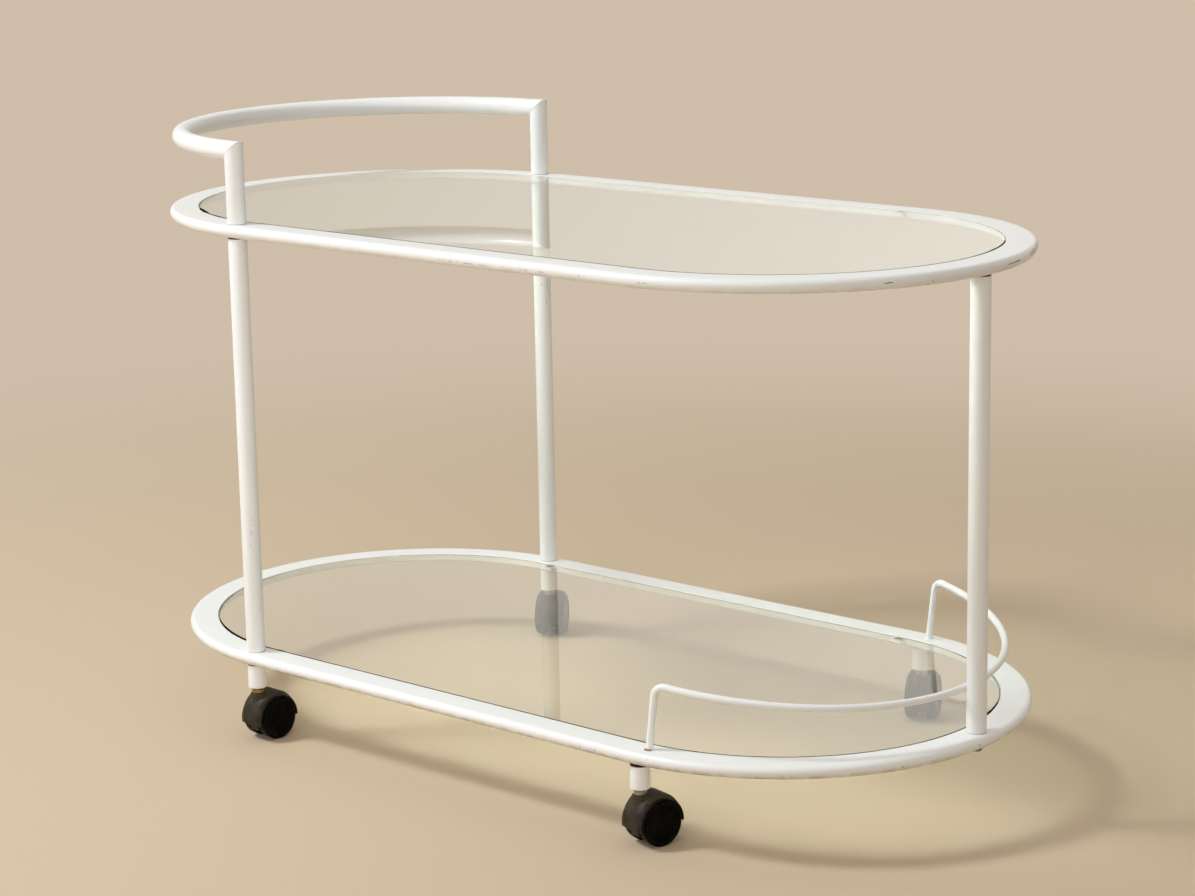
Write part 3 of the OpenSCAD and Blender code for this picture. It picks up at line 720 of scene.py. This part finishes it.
def makeSweepTree():
    tree, given, result = startGroup("stadiumSweep", {
        "Section": "Geometry", "Round Radius": 0.2, "Half Straight": 0.2, "Steps": "Int",
        "Height": 0.0, "Finish": "Material",
    }, {"Mesh": "Geometry"}, "GeometryNodeTree")
    circle = addNode(tree, "GeometryNodeCurvePrimitiveCircle", {
        "Resolution": given["Steps"], "Radius": given["Round Radius"]})
    turned = addNode(tree, "GeometryNodeTransform", {
        "Geometry": circle, "Rotation": (0, 0, math.pi / ringForm["roundSteps"])})
    place = addNode(tree, "ShaderNodeSeparateXYZ", {
        "Vector": tree.nodes.new("GeometryNodeInputPosition")})
    side = mathNode("SIGN", place.outputs["X"])
    shift = addNode(tree, "ShaderNodeCombineXYZ", {
        "X": times(side, given["Half Straight"]), "Z": given["Height"]})
    stretched = addNode(tree, "GeometryNodeSetPosition", {
        "Geometry": turned, "Offset": shift})
    upright = addNode(tree, "GeometryNodeSetCurveNormal", {"Curve": stretched}, mode="Z_UP")
    section = addNode(tree, "GeometryNodeMeshToCurve", {"Mesh": given["Section"]})
    swept = addNode(tree, "GeometryNodeCurveToMesh", {
        "Curve": upright, "Profile Curve": section})
    return endTree(tree, given, swept, result)


def makeRing(node, material):
    form = ringForm
    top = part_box(node)[1].z
    tiny = 0.0001       # keeps the two roundings of the outer side from meeting
    # the sweep lays a section's y downwards
    section = roundCorners([
        (0, 0, form["lip"]),
        (form["width"], 0, form["topEdge"]),
        (form["width"], form["topEdge"] + form["lowEdge"] * tiny, 0),
        (form["width"], ringHeight, form["lowEdge"] * (1 - tiny)),
        (0, ringHeight, form["innerEdge"]),
    ], form["edgeSteps"])
    loop = loopObject(node + "_section", [point.to_3d() for point in section])
    shape = runTree(loop, stadiumSweep, {
        "Round Radius": openingRadius, "Half Straight": endX, "Steps": form["roundSteps"],
        "Height": top, "Finish": material})
    finishPiece(node + "_shell", shape, material, [node], sharp=50)


stadiumSweep = makeSweepTree()
enamels = {node: makeEnamel(node) for node in (
    "upper_ring", "lower_ring", "post_front", "post_back", "post_end", "gallery_rail", "tubes")}
for node in ("upper_ring", "lower_ring"):
    makeRing(node, enamels[node])
print("rings swept")


# glass shelves

glassForm = {
    "arris": 0.9 * mm,      # ground edge, top and bottom
    "steps": 128,           # points round each end
}


def stadiumPoints(radius, z, steps):
    return [Vector((end * endX, 0, z)) + aroundZ(math.pi * (step / steps - end / 2)) * radius
            for end in (1, -1) for step in range(steps + 1)]


def makeGlassShelf(node):
    low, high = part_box(node)
    arris = glassForm["arris"]
    shape = bmesh.new()
    rows = [[shape.verts.new(point) for point in stadiumPoints(high.y - inset, z, glassForm["steps"])]
            for inset, z in ((arris, low.z), (0, low.z + arris * 0.8),
                             (0, high.z - arris * 0.8), (arris, high.z))]
    finishPiece(node + "_plate", skinRows(shape, rows), makeGlass(node[:5]), [node],
                sharp=20)


for node in ("upper_glass", "lower_glass"):
    makeGlassShelf(node)
print("glass laid in")


# near-black, unreflecting strips laid in the gap round the glass: painted shade where the gap looks dark

seamForm = {
    # from and to in degrees, radius, and how ragged
    "arcs": {
        "upper": [(-127, -113, 2.4 * mm, 0.9), (-117, -98, 1.6 * mm, 0.8), (31, -3, 1.6 * mm, 0.3)],
        "lower": [(-127, -84, 2.3 * mm, 0.15), (25, 0, 1.9 * mm, 0.15)],
    },
    "flat": 0.42,
    "centre": 243.0 * mm,
    "sink": 0.35 * mm,
    "steps": 150,
    "ripples": ((420, 1.1), (1300, 0.6)),       # scale and strength of each noise
    "thin": 0.12, "thick": 1.25,                # how far a ragged stretch may shrink or swell
    "tip": 0.004, "taper": 0.55,
}


def makeGapShade(shelf, index, start, end, radius, ragged):
    form = seamForm
    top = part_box(shelf + "_ring")[1].z
    middleX = endX if abs(start) < 90 else -endX
    stations = []
    for step in range(form["steps"] + 1):
        part = step / form["steps"]
        turn = math.radians(start + (end - start) * part)
        # beyond the left end it runs along the front
        past = max(0, turn + math.pi / 2) if middleX < 0 else 0
        outward = aroundZ(turn - past)
        middle = Vector((middleX + past * form["centre"], 0, top - form["sink"]))
        centre = middle + outward * form["centre"]
        uneven = 1 + ragged * sum(
            noise.noise(centre * scale) * strength for scale, strength in form["ripples"])
        taper = math.sin(math.pi * min(max(part, form["tip"]), 1 - form["tip"])) ** form["taper"]
        thickness = radius * min(max(uneven, form["thin"]), form["thick"]) * taper
        stations.append((centre, outward, zAxis * form["flat"], thickness))
    finishPiece(f"{shelf}_gap_seam_{index}", sweepRound(stations, 16), plastics["seam"],
                sharp=180)


for shelf, arcs in seamForm["arcs"].items():
    for index, arc in enumerate(arcs):
        makeGapShade(shelf, index, *arc)


# tabs and pads, set out by a node tree

blockForm = {
    "tabs": {"width": 10 * mm, "length": 16 * mm, "edge": 0.5 * mm, "edgeSteps": 3},
    "pads": {"width": 7 * mm, "length": 11 * mm, "edge": 0.7 * mm, "edgeSteps": 3},
}


def makeBlockTree():
    tree, given, result = startGroup("blocksOnRing", {
        "Block": "Geometry", "Long Side": 0.5, "Short Side": 0.5, "Height": 0.0,
        "Finish": "Material",
    }, {"Mesh": "Geometry"}, "GeometryNodeTree")
    corners = addNode(tree, "GeometryNodeMeshGrid", {
        "Size X": given["Long Side"], "Size Y": given["Short Side"], "Vertices X": 2, "Vertices Y": 2})
    lift = addNode(tree, "ShaderNodeCombineXYZ", {"Z": given["Height"]})
    lifted = addNode(tree, "GeometryNodeTransform", {
        "Geometry": corners, "Translation": lift})
    copies = addNode(tree, "GeometryNodeInstanceOnPoints", {
        "Points": lifted, "Instance": given["Block"]})
    return endTree(tree, given, copies, result)


def makeBlocks(node, kind, material):
    form = blockForm[kind]
    low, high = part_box(node)
    shape = bmesh.new()
    bmesh.ops.create_cube(
        shape, size=1, matrix=Matrix.Diagonal((form["length"], form["width"], high.z - low.z, 1)))
    bmesh.ops.bevel(shape, geom=shape.edges[:], offset=form["edge"], segments=form["edgeSteps"],
                    profile=0.5, affect="EDGES")
    shape = runTree(looseObject(node + "_block", shape), blocksOnRing, {
        "Long Side": 2 * high.x - form["length"], "Short Side": 2 * high.y - form["width"],
        "Height": (low.z + high.z) / 2, "Finish": material})
    finishPiece(node + "_set", shape, material, [node], sharp=60)


blocksOnRing = makeBlockTree()
for shelf in ("upper", "lower"):
    makeBlocks(shelf + "_glass_tabs", "tabs", enamels["tubes"])
    makeBlocks(shelf + "_glass_pads", "pads", plastics["pad"])


# posts, legs and the handle

tubeForm = {
    "radius": 11 * mm,
    "edge": 0.5 * mm,       # rounding of a sawn and painted end
    "edgeSteps": 4,
}


def centreOf(node):
    low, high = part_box(node)
    return (low + high) / 2


def tubeEnd(centre, z, inward):
    # stations for a rounded tube end: inward is 1 at the bottom and -1 at the top
    edge, radius = tubeForm["edge"], tubeForm["radius"]
    stations = []
    for step in range(tubeForm["edgeSteps"] + 1):
        turn = math.pi / 2 * step / tubeForm["edgeSteps"]
        height = z + inward * edge * (1 - math.cos(turn))
        stations.append((Vector((centre.x, centre.y, height)), xAxis, yAxis,
                         radius - edge + edge * math.sin(turn)))
    return stations


def makeTube(node, material):
    low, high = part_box(node)
    centre = centreOf(node)
    stations = tubeEnd(centre, low.z, 1) + tubeEnd(centre, high.z, -1)[::-1]
    finishPiece(node + "_tube", sweepRound(stations), material, [node])


for node in ("post_front", "post_back", "post_end"):
    makeTube(node, enamels[node])
corners = ("front_left", "front_right", "back_right", "back_left")
for corner in corners:
    makeTube("leg_" + corner, enamels["tubes"])

bowForm = {
    "centre": Vector((-endX, 0, centreOf("handle_bow").z)),
    "steps": 160,
}
uprightFront = centreOf("handle_upright_front")
bowRadius = math.hypot(uprightFront.x + endX, uprightFront.y)
bowStart = math.atan2(abs(uprightFront.y), uprightFront.x + endX)


def mitreAt(side):
    # corner point, and the normal of the mitre's plane
    outward = aroundZ(side * bowStart)
    corner = bowForm["centre"] + outward * bowRadius
    away = Vector((-outward.y, outward.x, 0)) * side
    return corner, (away + zAxis).normalized()


def makeHandle():
    stations = []
    for step in range(bowForm["steps"] + 1):
        outward = aroundZ(bowStart + (2 * math.pi - 2 * bowStart) * step / bowForm["steps"])
        stations.append((bowForm["centre"] + outward * bowRadius, outward, zAxis, tubeForm["radius"]))
    stations[0] += (mitreAt(1)[1],)
    stations[-1] += (mitreAt(-1)[1],)
    finishPiece("handle_bow_tube", sweepRound(stations), enamels["tubes"], ["handle_bow"])
    for node, side in (("handle_upright_front", -1), ("handle_upright_back", 1)):
        corner, plane = mitreAt(side)
        stations = tubeEnd(corner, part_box(node)[0].z, 1)
        stations.append((corner, xAxis, yAxis, tubeForm["radius"], plane))
        finishPiece(node + "_tube", sweepRound(stations), enamels["tubes"], [node])


makeHandle()
print("tubes and handle built")


# gallery rail

railForm = {
    "radius": 4 * mm,
    "baseX": 307 * mm,      # where the legs enter the ring
    "rise": 73 * mm,
    "slope": 7,             # degrees, down towards the end post
    "circleRadius": 262 * mm,
    "bend": 12 * mm,
    "straight": 4 * mm,
    "sink": 5 * mm,
    "postGap": 0.4 * mm,
    "steps": 96, "bendSteps": 12,
    "legLevels": (0.5, 0.1, 0.0),       # parts of its height where a leg has rings of points
}
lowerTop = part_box("lower_ring")[1].z


def railPath():
    form = railForm
    slope = math.radians(form["slope"])
    postFace = centreOf("post_end").x - tubeForm["radius"]
    leaning = form["rise"] * math.sin(slope)
    reach = (postFace - form["postGap"] - form["radius"] - form["baseX"] - leaning) / math.cos(slope)
    centre = Vector((reach - form["circleRadius"], 0, form["rise"]))
    beyond = form["straight"] + form["bend"]
    turn = (math.acos(-centre.x / math.hypot(form["circleRadius"], beyond))
            - math.atan(beyond / form["circleRadius"]))
    half = [centre + aroundZ(turn * step / form["steps"]) * form["circleRadius"]
            for step in range(form["steps"] + 1)]
    along = aroundZ(turn + math.pi / 2)
    corner = half[-1] + along * form["straight"] - zAxis * form["bend"]
    for step in range(form["bendSteps"] + 1):
        angle = math.pi / 2 * step / form["bendSteps"]
        half.append(corner + (along * math.sin(angle) + zAxis * math.cos(angle)) * form["bend"])
    foot = half[-1].copy()
    for z in [foot.z * level for level in form["legLevels"]] + [-form["sink"]]:
        half.append(Vector((foot.x, foot.y, z)))
    path = [Vector((p.x, -p.y, p.z)) for p in reversed(half)] + half[1:]
    tilt = Matrix.Translation((form["baseX"], 0, lowerTop)) @ Matrix.Rotation(slope, 4, "Y")
    return [tilt @ p for p in path], [tilt @ Vector((foot.x, side * foot.y, 0)) for side in (-1, 1)]


railPoints, railFeet = railPath()
railStations = [(point, *axes, railForm["radius"])
                for point, axes in zip(railPoints, framesAlong(railPoints))]
finishPiece("gallery_rail_rod", sweepRound(railStations, 32), enamels["gallery_rail"],
            ["gallery_rail"])


# weld beads, laid along closed lines by a node tree

def makeBeadTree():
    tree, given, result = startGroup("beadAlongLine", {
        "Line": "Geometry", "Bead": 0.0005, "Uneven": 0.3, "Ripple": 400.0, "Seed": 4.0,
        "Finish": "Material",
    }, {"Mesh": "Geometry"}, "GeometryNodeTree")
    line = addNode(tree, "GeometryNodeMeshToCurve", {"Mesh": given["Line"]})
    place = tree.nodes.new("GeometryNodeInputPosition")
    ripple = addNode(tree, "ShaderNodeTexNoise", {
        "Vector": place, "Scale": given["Ripple"], "W": given["Seed"]}, noise_dimensions="4D")
    centred = mathNode("SUBTRACT", ripple.outputs["Fac"], 0.5)
    swing = mathNode("MULTIPLY_ADD", centred, given["Uneven"], 1.0)
    circle = addNode(tree, "GeometryNodeCurvePrimitiveCircle", {
        "Resolution": 8, "Radius": given["Bead"]})
    bead = addNode(tree, "GeometryNodeCurveToMesh", {
        "Curve": line, "Profile Curve": circle, "Scale": swing})
    return endTree(tree, given, bead, result)


beadForm = {
    "mitre": {"bead": 0.5 * mm, "outside": -0.15 * mm, "uneven": 0.5, "ripple": 400.0, "steps": 120},
    "railFoot": {"bead": 1.0 * mm, "outside": 0.35 * mm, "uneven": 0.9, "ripple": 260.0, "steps": 64},
}


def makeBead(name, kind, radius, centre, plane, seed, material):
    # a bead round a tube where a plane through the centre cuts it
    form = beadForm[kind]
    loop = []
    for turn in fullTurn(form["steps"]):
        point = aroundZ(turn) * (radius + form["outside"])
        loop.append(centre + point - zAxis * (plane.dot(point) / plane.z))
    shape = runTree(loopObject(name + "_line", loop), beadAlongLine, {
        "Bead": form["bead"], "Uneven": form["uneven"], "Ripple": form["ripple"], "Seed": seed,
        "Finish": material})
    finishPiece(name, shape, material, sharp=180)


beadAlongLine = makeBeadTree()
for side, name, seed in ((-1, "front", 2.0), (1, "back", 4.0)):
    corner, plane = mitreAt(side)
    makeBead("mitre_weld_" + name, "mitre", tubeForm["radius"], corner, plane, seed, enamels["tubes"])
for foot, name, seed in zip(railFeet, ("front", "back"), (7.0, 9.0)):
    makeBead("rail_foot_weld_" + name, "railFoot", railForm["radius"], foot, zAxis, seed,
             enamels["gallery_rail"])
print("rail and welds built", [tuple(round(v / mm, 1) for v in foot) for foot in railFeet])


# casters

casterForm = {
    "wheelRadius": 25 * mm,
    "wheelInner": 6.75 * mm,    # distances from the caster's middle
    "wheelOuter": 18.75 * mm,
    "voxel": 0.45 * mm,         # the hood's skin
    "soften": 3,
    "brimFrom": 16.3,           # the hood's glossy side edges, in mm from its middle
    "brimFade": 0.5,
    "tongueRadius": 9.35,       # the browner tongue round the stem, and the top behind it
    "tongueLow": 40,
    "crownLow": 50, "crownLean": 0.35, "crownFrom": -2,
}
joints = {joint["name"]: joint for joint in frame["joints"]}


def jointPlace(name):
    return Vector(joints[name]["pos_m"])


def casterMatrix(corner):
    stem, axle = jointPlace("turn_" + corner), jointPlace("roll_a_" + corner)
    heading = math.atan2(axle.y - stem.y, axle.x - stem.x)
    return Matrix.Translation((stem.x, stem.y, 0)) @ Matrix.Rotation(heading, 4, "Z")


trail = (jointPlace("roll_a_front_left") - jointPlace("turn_front_left")).xy.length
axlePlace = Matrix.Translation((trail, 0, casterForm["wheelRadius"]))
alongAxle = axlePlace @ Matrix.Rotation(math.radians(-90), 4, "X")


def moulded(node, place):
    # a fine even skin over the node's own shape, in the caster's own frame, with its
    # moulded edges eased
    form = casterForm
    piece = looseObject("hoodSkin", joined(nodes[node].data, place.inverted()))
    skin = piece.modifiers.new("skin", "REMESH")
    skin.mode, skin.voxel_size, skin.adaptivity = "VOXEL", form["voxel"], 0.0
    ease = piece.modifiers.new("ease", "SMOOTH")
    ease.factor, ease.iterations = 0.5, form["soften"]
    mesh = evaluatedMesh(piece)
    # masks for the hood's colours: the crown's dust and painted reflection, the brim's painted shade
    brim = mesh.attributes.new("brim", "FLOAT", "POINT")
    crown = mesh.attributes.new("crown", "FLOAT", "POINT")
    for index, vertex in enumerate(mesh.vertices):
        x, y, z = vertex.co / mm
        brim.data[index].value = min(max((abs(y) - form["brimFrom"]) / form["brimFade"], 0), 1)
        tongue = math.hypot(x, y) < form["tongueRadius"] and z > form["tongueLow"]
        top = z > form["crownLow"] - form["crownLean"] * x and x > form["crownFrom"]
        crown.data[index].value = 1.0 if tongue or top else 0.0
    return mesh


wheelForm = {
    "crown": 0.35 * mm,         # how much the tread bulges
    "crownRound": 30 * mm,
    "edge": 1.6 * mm,
    "faceSink": 0.7 * mm,       # how far the outer face lies behind the rim, and its slight dome
    "faceRound": 8 * mm,
    "rim": 3.4 * mm,
    "rimStep": (-0.8 * mm, 0.2 * mm),       # the slope from the face to the rim
    "rimRound": 0.6 * mm, "lipRound": 0.35 * mm,
    "hubRadius": 6.5 * mm, "hubSink": 0.1 * mm,
    "dish": 6 * mm, "dishSlope": 0.5 * mm, "dishRound": 1 * mm,     # hollow on the inner side
    "steps": 128,
}


def makeWheelShape():
    form, wheel = wheelForm, casterForm["wheelRadius"]
    inner, outer = casterForm["wheelInner"], casterForm["wheelOuter"]
    rim, sink, slope = wheel - form["rim"], form["faceSink"], form["dishSlope"]
    outline = roundCorners([
        (0, outer - sink * 0.6, 0),
        (rim * 0.55, outer - sink * 0.75, form["faceRound"]),
        (rim + form["rimStep"][0], outer - sink, form["rimRound"]),
        (rim + form["rimStep"][1], outer, form["lipRound"]),
        (wheel - form["crown"], outer, form["edge"]),
        (wheel, (inner + outer) / 2, form["crownRound"]),
        (wheel - form["crown"], inner, form["edge"]),
        (rim, inner, form["rimRound"]),
        (rim - slope, inner + form["dish"], form["dishRound"]),
        (form["hubRadius"] + slope, inner + form["dish"], form["dishRound"]),
        (form["hubRadius"], inner + form["hubSink"], form["dishRound"] / 2),
        (0, inner + form["hubSink"], 0),
    ], 5, closed=False)
    return lathe(outline, form["steps"])


stemForm = {
    "radius": 4 * mm, "tip": 0.6 * mm,
    "bottom": 38.7 * mm,
    "collarLow": 58.2 * mm,
    "collarRadius": 7.25 * mm,
    "ridges": {"front_left": 3, "front_right": 1, "back_right": 1, "back_left": 1},
    "ridge": 0.78, "groove": (0.86, 0.94),      # where they end or lie, as parts of the pitch
    "grooveDepth": 0.35 * mm,
    "neckRadius": 6.5 * mm, "neck": 1.3 * mm,
    "flangeRadius": 7.9 * mm, "flange": 0.8 * mm,
    "round": 0.2 * mm,
    "top": 65 * mm,
    "steps": 64,
}


def makeStemShape(corner):
    form = stemForm
    collar, flange, soft = form["collarRadius"], form["flangeRadius"], form["round"]
    flangeLow = form["top"] - form["flange"]
    ridgeTop = flangeLow - form["neck"]
    count = form["ridges"][corner]
    pitch = (ridgeTop - form["collarLow"]) / count
    points = [(0, form["bottom"], 0), (form["radius"], form["bottom"], form["tip"]),
              (form["radius"], form["collarLow"], 0)]
    for ridge in range(count):
        low = form["collarLow"] + ridge * pitch
        points += [(collar, low, soft * 1.25), (collar, low + pitch * form["ridge"], soft)]
        if ridge < count - 1:
            points += [(collar - form["grooveDepth"], low + pitch * part, soft / 2)
                       for part in form["groove"]]
    points += [(form["neckRadius"], ridgeTop, soft * 0.75), (form["neckRadius"], flangeLow, 0),
               (flange, flangeLow, soft), (flange, form["top"], soft), (0, form["top"], 0)]
    return lathe(roundCorners(points, 4, closed=False), form["steps"])


hoodMesh = moulded("hood_front_left", casterMatrix("front_left"))
print("hood moulded:", len(hoodMesh.polygons), "faces")


for corner in corners:
    place = casterMatrix(corner)
    finish, slot = ("brassy", "brass_finish") if corner == "front_left" else ("zinc", "zinc_steel")
    finishPiece(f"hood_{corner}_shell", joined(hoodMesh, place), plastics["hood"],
                ["hood_" + corner], "swivel_" + corner, sharp=180)
    finishPiece(f"stem_{corner}_collar", moved(makeStemShape(corner), place), metals[finish],
                ["stem_" + corner])
    for letter, side in (("a", -1), ("b", 1)):
        wheel = moved(makeWheelShape(), place @ alongAxle @ Matrix.Scale(side, 4, zAxis))
        finishPiece(f"wheel_{letter}_{corner}_tyre", wheel, plastics["wheel"],
                    [f"wheel_{letter}_{corner}"], f"roller_{letter}_{corner}", sharp=35)
    dressMesh(nodes["axle_" + corner].data, metals["zinc"])
bpy.data.meshes.remove(hoodMesh)
print("casters built")


# bolt under the end post, and the hidden hardware

boltForm = {
    "flats": 11 * mm, "height": 4 * mm, "shank": 4 * mm, "steps": 72,
    # height and greatest radius of each ring of points: the washer face, its rim, the hexagon
    "rings": ((0, 5.3 * mm), (0.4 * mm, 5.85 * mm), (0.8 * mm, 11 * mm), (4 * mm, 11 * mm)),
}


def makeBolt():
    form = boltForm
    low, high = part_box("end_post_bolt")
    centre = centreOf("end_post_bolt")
    shape = bmesh.new()
    rows = []
    for z, limit in form["rings"]:
        row = []
        for turn in fullTurn(form["steps"]):
            flat = (turn + math.pi / 6) % (math.pi / 3) - math.pi / 6
            radius = min(form["flats"] / 2 / math.cos(flat), limit)
            row.append(shape.verts.new((radius * math.cos(turn), radius * math.sin(turn), z)))
        rows.append(row)
    skinRows(shape, rows)
    length = high.z - low.z
    shank = lathe([(0, form["height"]), (form["shank"], form["height"]),
                   (form["shank"], length), (0, length)], 48)
    scrap = bpy.data.meshes.new("shank")
    shank.to_mesh(scrap)
    shank.free()
    shape.from_mesh(scrap)
    bpy.data.meshes.remove(scrap)
    moved(shape, Matrix.Translation((centre.x, centre.y, low.z)))
    finishPiece("end_post_bolt_hex", shape, metals["blackSteel"], ["end_post_bolt"],
                sharp=20)


makeBolt()
hidden = {
    "plug": ("post_top_plugs", "leg_inserts"),
    # flanges at the feet: painted over, and grey as painted shade
    "flangeOverpaintAndShade": ("upright_plugs", "post_bottom_plugs"),
    "zinc": ("upper_ring_bushes", "lower_ring_bushes", "upper_joint_studs", "lower_joint_studs",
             "right_leg_studs", "end_post_stud"),
    "blackSteel": ("end_post_washer",),
}
for finish, names in hidden.items():
    for name in names:
        dressMesh(nodes[name].data, {**plastics, **metals}[finish])
print("hardware finished")


# floor, light and camera

floorLook = {
    "colour": (0.61, 0.475, 0.325, 1),
    "backdrop": (0.62, 0.515, 0.40, 1),     # seen far off, and all round
    "nearRadius": 0.95,
    "farRadius": 2.6,
    "roughness": 0.9,
    "size": 90,
}


def seenDirectly(tree):
    path = tree.nodes.new("ShaderNodeLightPath")
    bounced = mathNode("MAXIMUM", path.outputs["Is Glossy Ray"], path.outputs["Is Transmission Ray"])
    return mathNode("MAXIMUM", path.outputs["Is Camera Ray"], bounced)


def makeFloor():
    look = floorLook
    material, tree, shader, coords = startMaterial("floorPale")
    distance = vectorNode("LENGTH", coords).outputs["Value"]
    far = addNode(tree, "ShaderNodeMapRange", {
        "Value": distance, "From Min": look["nearRadius"], "From Max": look["farRadius"]},
        interpolation_type="SMOOTHSTEP").outputs["Result"]
    setShader(shader, {"Base Color": look["colour"], "Roughness": look["roughness"]})
    backdrop = addNode(tree, "ShaderNodeEmission", {"Color": look["backdrop"], "Strength": 1.0})
    blend = addNode(tree, "ShaderNodeMixShader", {
        0: times(far, seenDirectly(tree)), 1: shader, 2: backdrop})
    setInput(tree.nodes["Material Output"].inputs["Surface"], blend)
    shape = bmesh.new()
    bmesh.ops.create_grid(shape, x_segments=1, y_segments=1, size=look["size"] / 2)
    floor = looseObject("floor", shape)
    floor.data.materials.append(material)


worldLook = {
    "lightColour": (1.0, 0.955, 0.895, 1), "light": 0.50,
    # above the horizon, for the glass to mirror: dimmer on the left, lighter on the right
    "upperLeft": (0.665, 0.62, 0.54, 1), "upperRight": (1.0, 0.97, 0.91, 1),
    "across": aroundZ(math.radians(40.92)), "fadeAcross": 0.15, "fadeUp": 0.16,
}


def makeWorld():
    look = worldLook
    world = bpy.data.worlds.new("studio")
    bpy.context.scene.world = world
    world.use_nodes = True
    tree = world.node_tree
    tree.nodes.clear()
    lit = addNode(tree, "ShaderNodeBackground", {"Color": look["lightColour"], "Strength": look["light"]})
    direction = tree.nodes.new("ShaderNodeTexCoord").outputs["Generated"]
    height = addNode(tree, "ShaderNodeSeparateXYZ", {"Vector": direction}).outputs["Z"]
    across = vectorNode("DOT_PRODUCT", direction, look["across"]).outputs["Value"]
    towardsRight = mapRange(across, -look["fadeAcross"], look["fadeAcross"])
    upper = mixColour(towardsRight, look["upperLeft"], look["upperRight"])
    upward = mapRange(height, 0.0, look["fadeUp"])
    colour = mixColour(upward, floorLook["backdrop"], upper)
    shown = addNode(tree, "ShaderNodeBackground", {"Color": colour, "Strength": 1.0})
    blend = addNode(tree, "ShaderNodeMixShader", {
        0: seenDirectly(tree), 1: lit, 2: shown})
    addNode(tree, "ShaderNodeOutputWorld", {"Surface": blend})


cameraView = {
    "azimuth": 40.92, "elevation": 12.71, "roll": -1.08,
    "place": Vector((2210.1, -2527.8, 1102.9)) * mm,
    "focalPixels": 2955.2, "photoWidth": 1195, "sensor": 36,
    "near": 0.01, "far": 60,
}


def turned(azimuth, elevation, roll=0):
    # camera axes for a camera at that azimuth and elevation, looking back at the object
    a, e, r = (math.radians(v) for v in (azimuth, elevation, roll))
    back = Vector((math.sin(a) * math.cos(e), -math.cos(a) * math.cos(e), math.sin(e)))
    right = aroundZ(a)
    up = back.cross(right)
    side = right * math.cos(r) + up * math.sin(r)
    top = up * math.cos(r) - right * math.sin(r)
    return Matrix((side, top, back)).transposed().to_4x4()


def makeCamera():
    view = cameraView
    data = bpy.data.cameras.new("photoCamera")
    data.sensor_width = view["sensor"]
    data.lens = view["focalPixels"] / view["photoWidth"] * view["sensor"]
    data.clip_start = view["near"]
    data.clip_end = view["far"]
    camera = bpy.data.objects.new("photoCamera", data)
    bpy.context.scene.collection.objects.link(camera)
    camera.matrix_world = Matrix.Translation(view["place"]) @ turned(
        view["azimuth"], view["elevation"], view["roll"])
    bpy.context.scene.camera = camera


lamps = {
    # azimuth and elevation as for the camera, distance and size in metres, power in watts;
    # the soft lamp stays out of reflections, or the glass mirrors its outline from behind
    "window": {"azimuth": -44, "elevation": 46, "distance": 4.6, "size": (0.86, 0.70), "power": 149,
               "colour": (0.87, 0.94, 1.0), "target": (-0.12, 0, 0.40), "spread": 180, "mirrored": True},
    "soft": {"azimuth": 25, "elevation": 12, "distance": 2.3, "size": (1.3, 1.0), "power": 3.1,
             "colour": (0.90, 0.95, 1.0), "target": (-0.48, 0, 0.38), "spread": 75, "mirrored": False},
}


def makeLamps():
    for name, lamp in lamps.items():
        data = bpy.data.lights.new(name, "AREA")
        data.shape = "RECTANGLE"
        data.size, data.size_y = lamp["size"]
        data.energy = lamp["power"]
        data.color = lamp["colour"]
        data.spread = math.radians(lamp["spread"])
        light = bpy.data.objects.new(name, data)
        bpy.context.scene.collection.objects.link(light)
        light.visible_glossy = light.visible_transmission = lamp["mirrored"]
        pose = turned(lamp["azimuth"], lamp["elevation"])
        place = Vector(lamp["target"]) + pose.col[2].xyz * lamp["distance"]
        light.matrix_world = Matrix.Translation(place) @ pose


makeFloor()
makeWorld()
makeCamera()
makeLamps()
bpy.context.scene.view_settings.view_transform = "Standard"
print("stage, lamps and camera set")
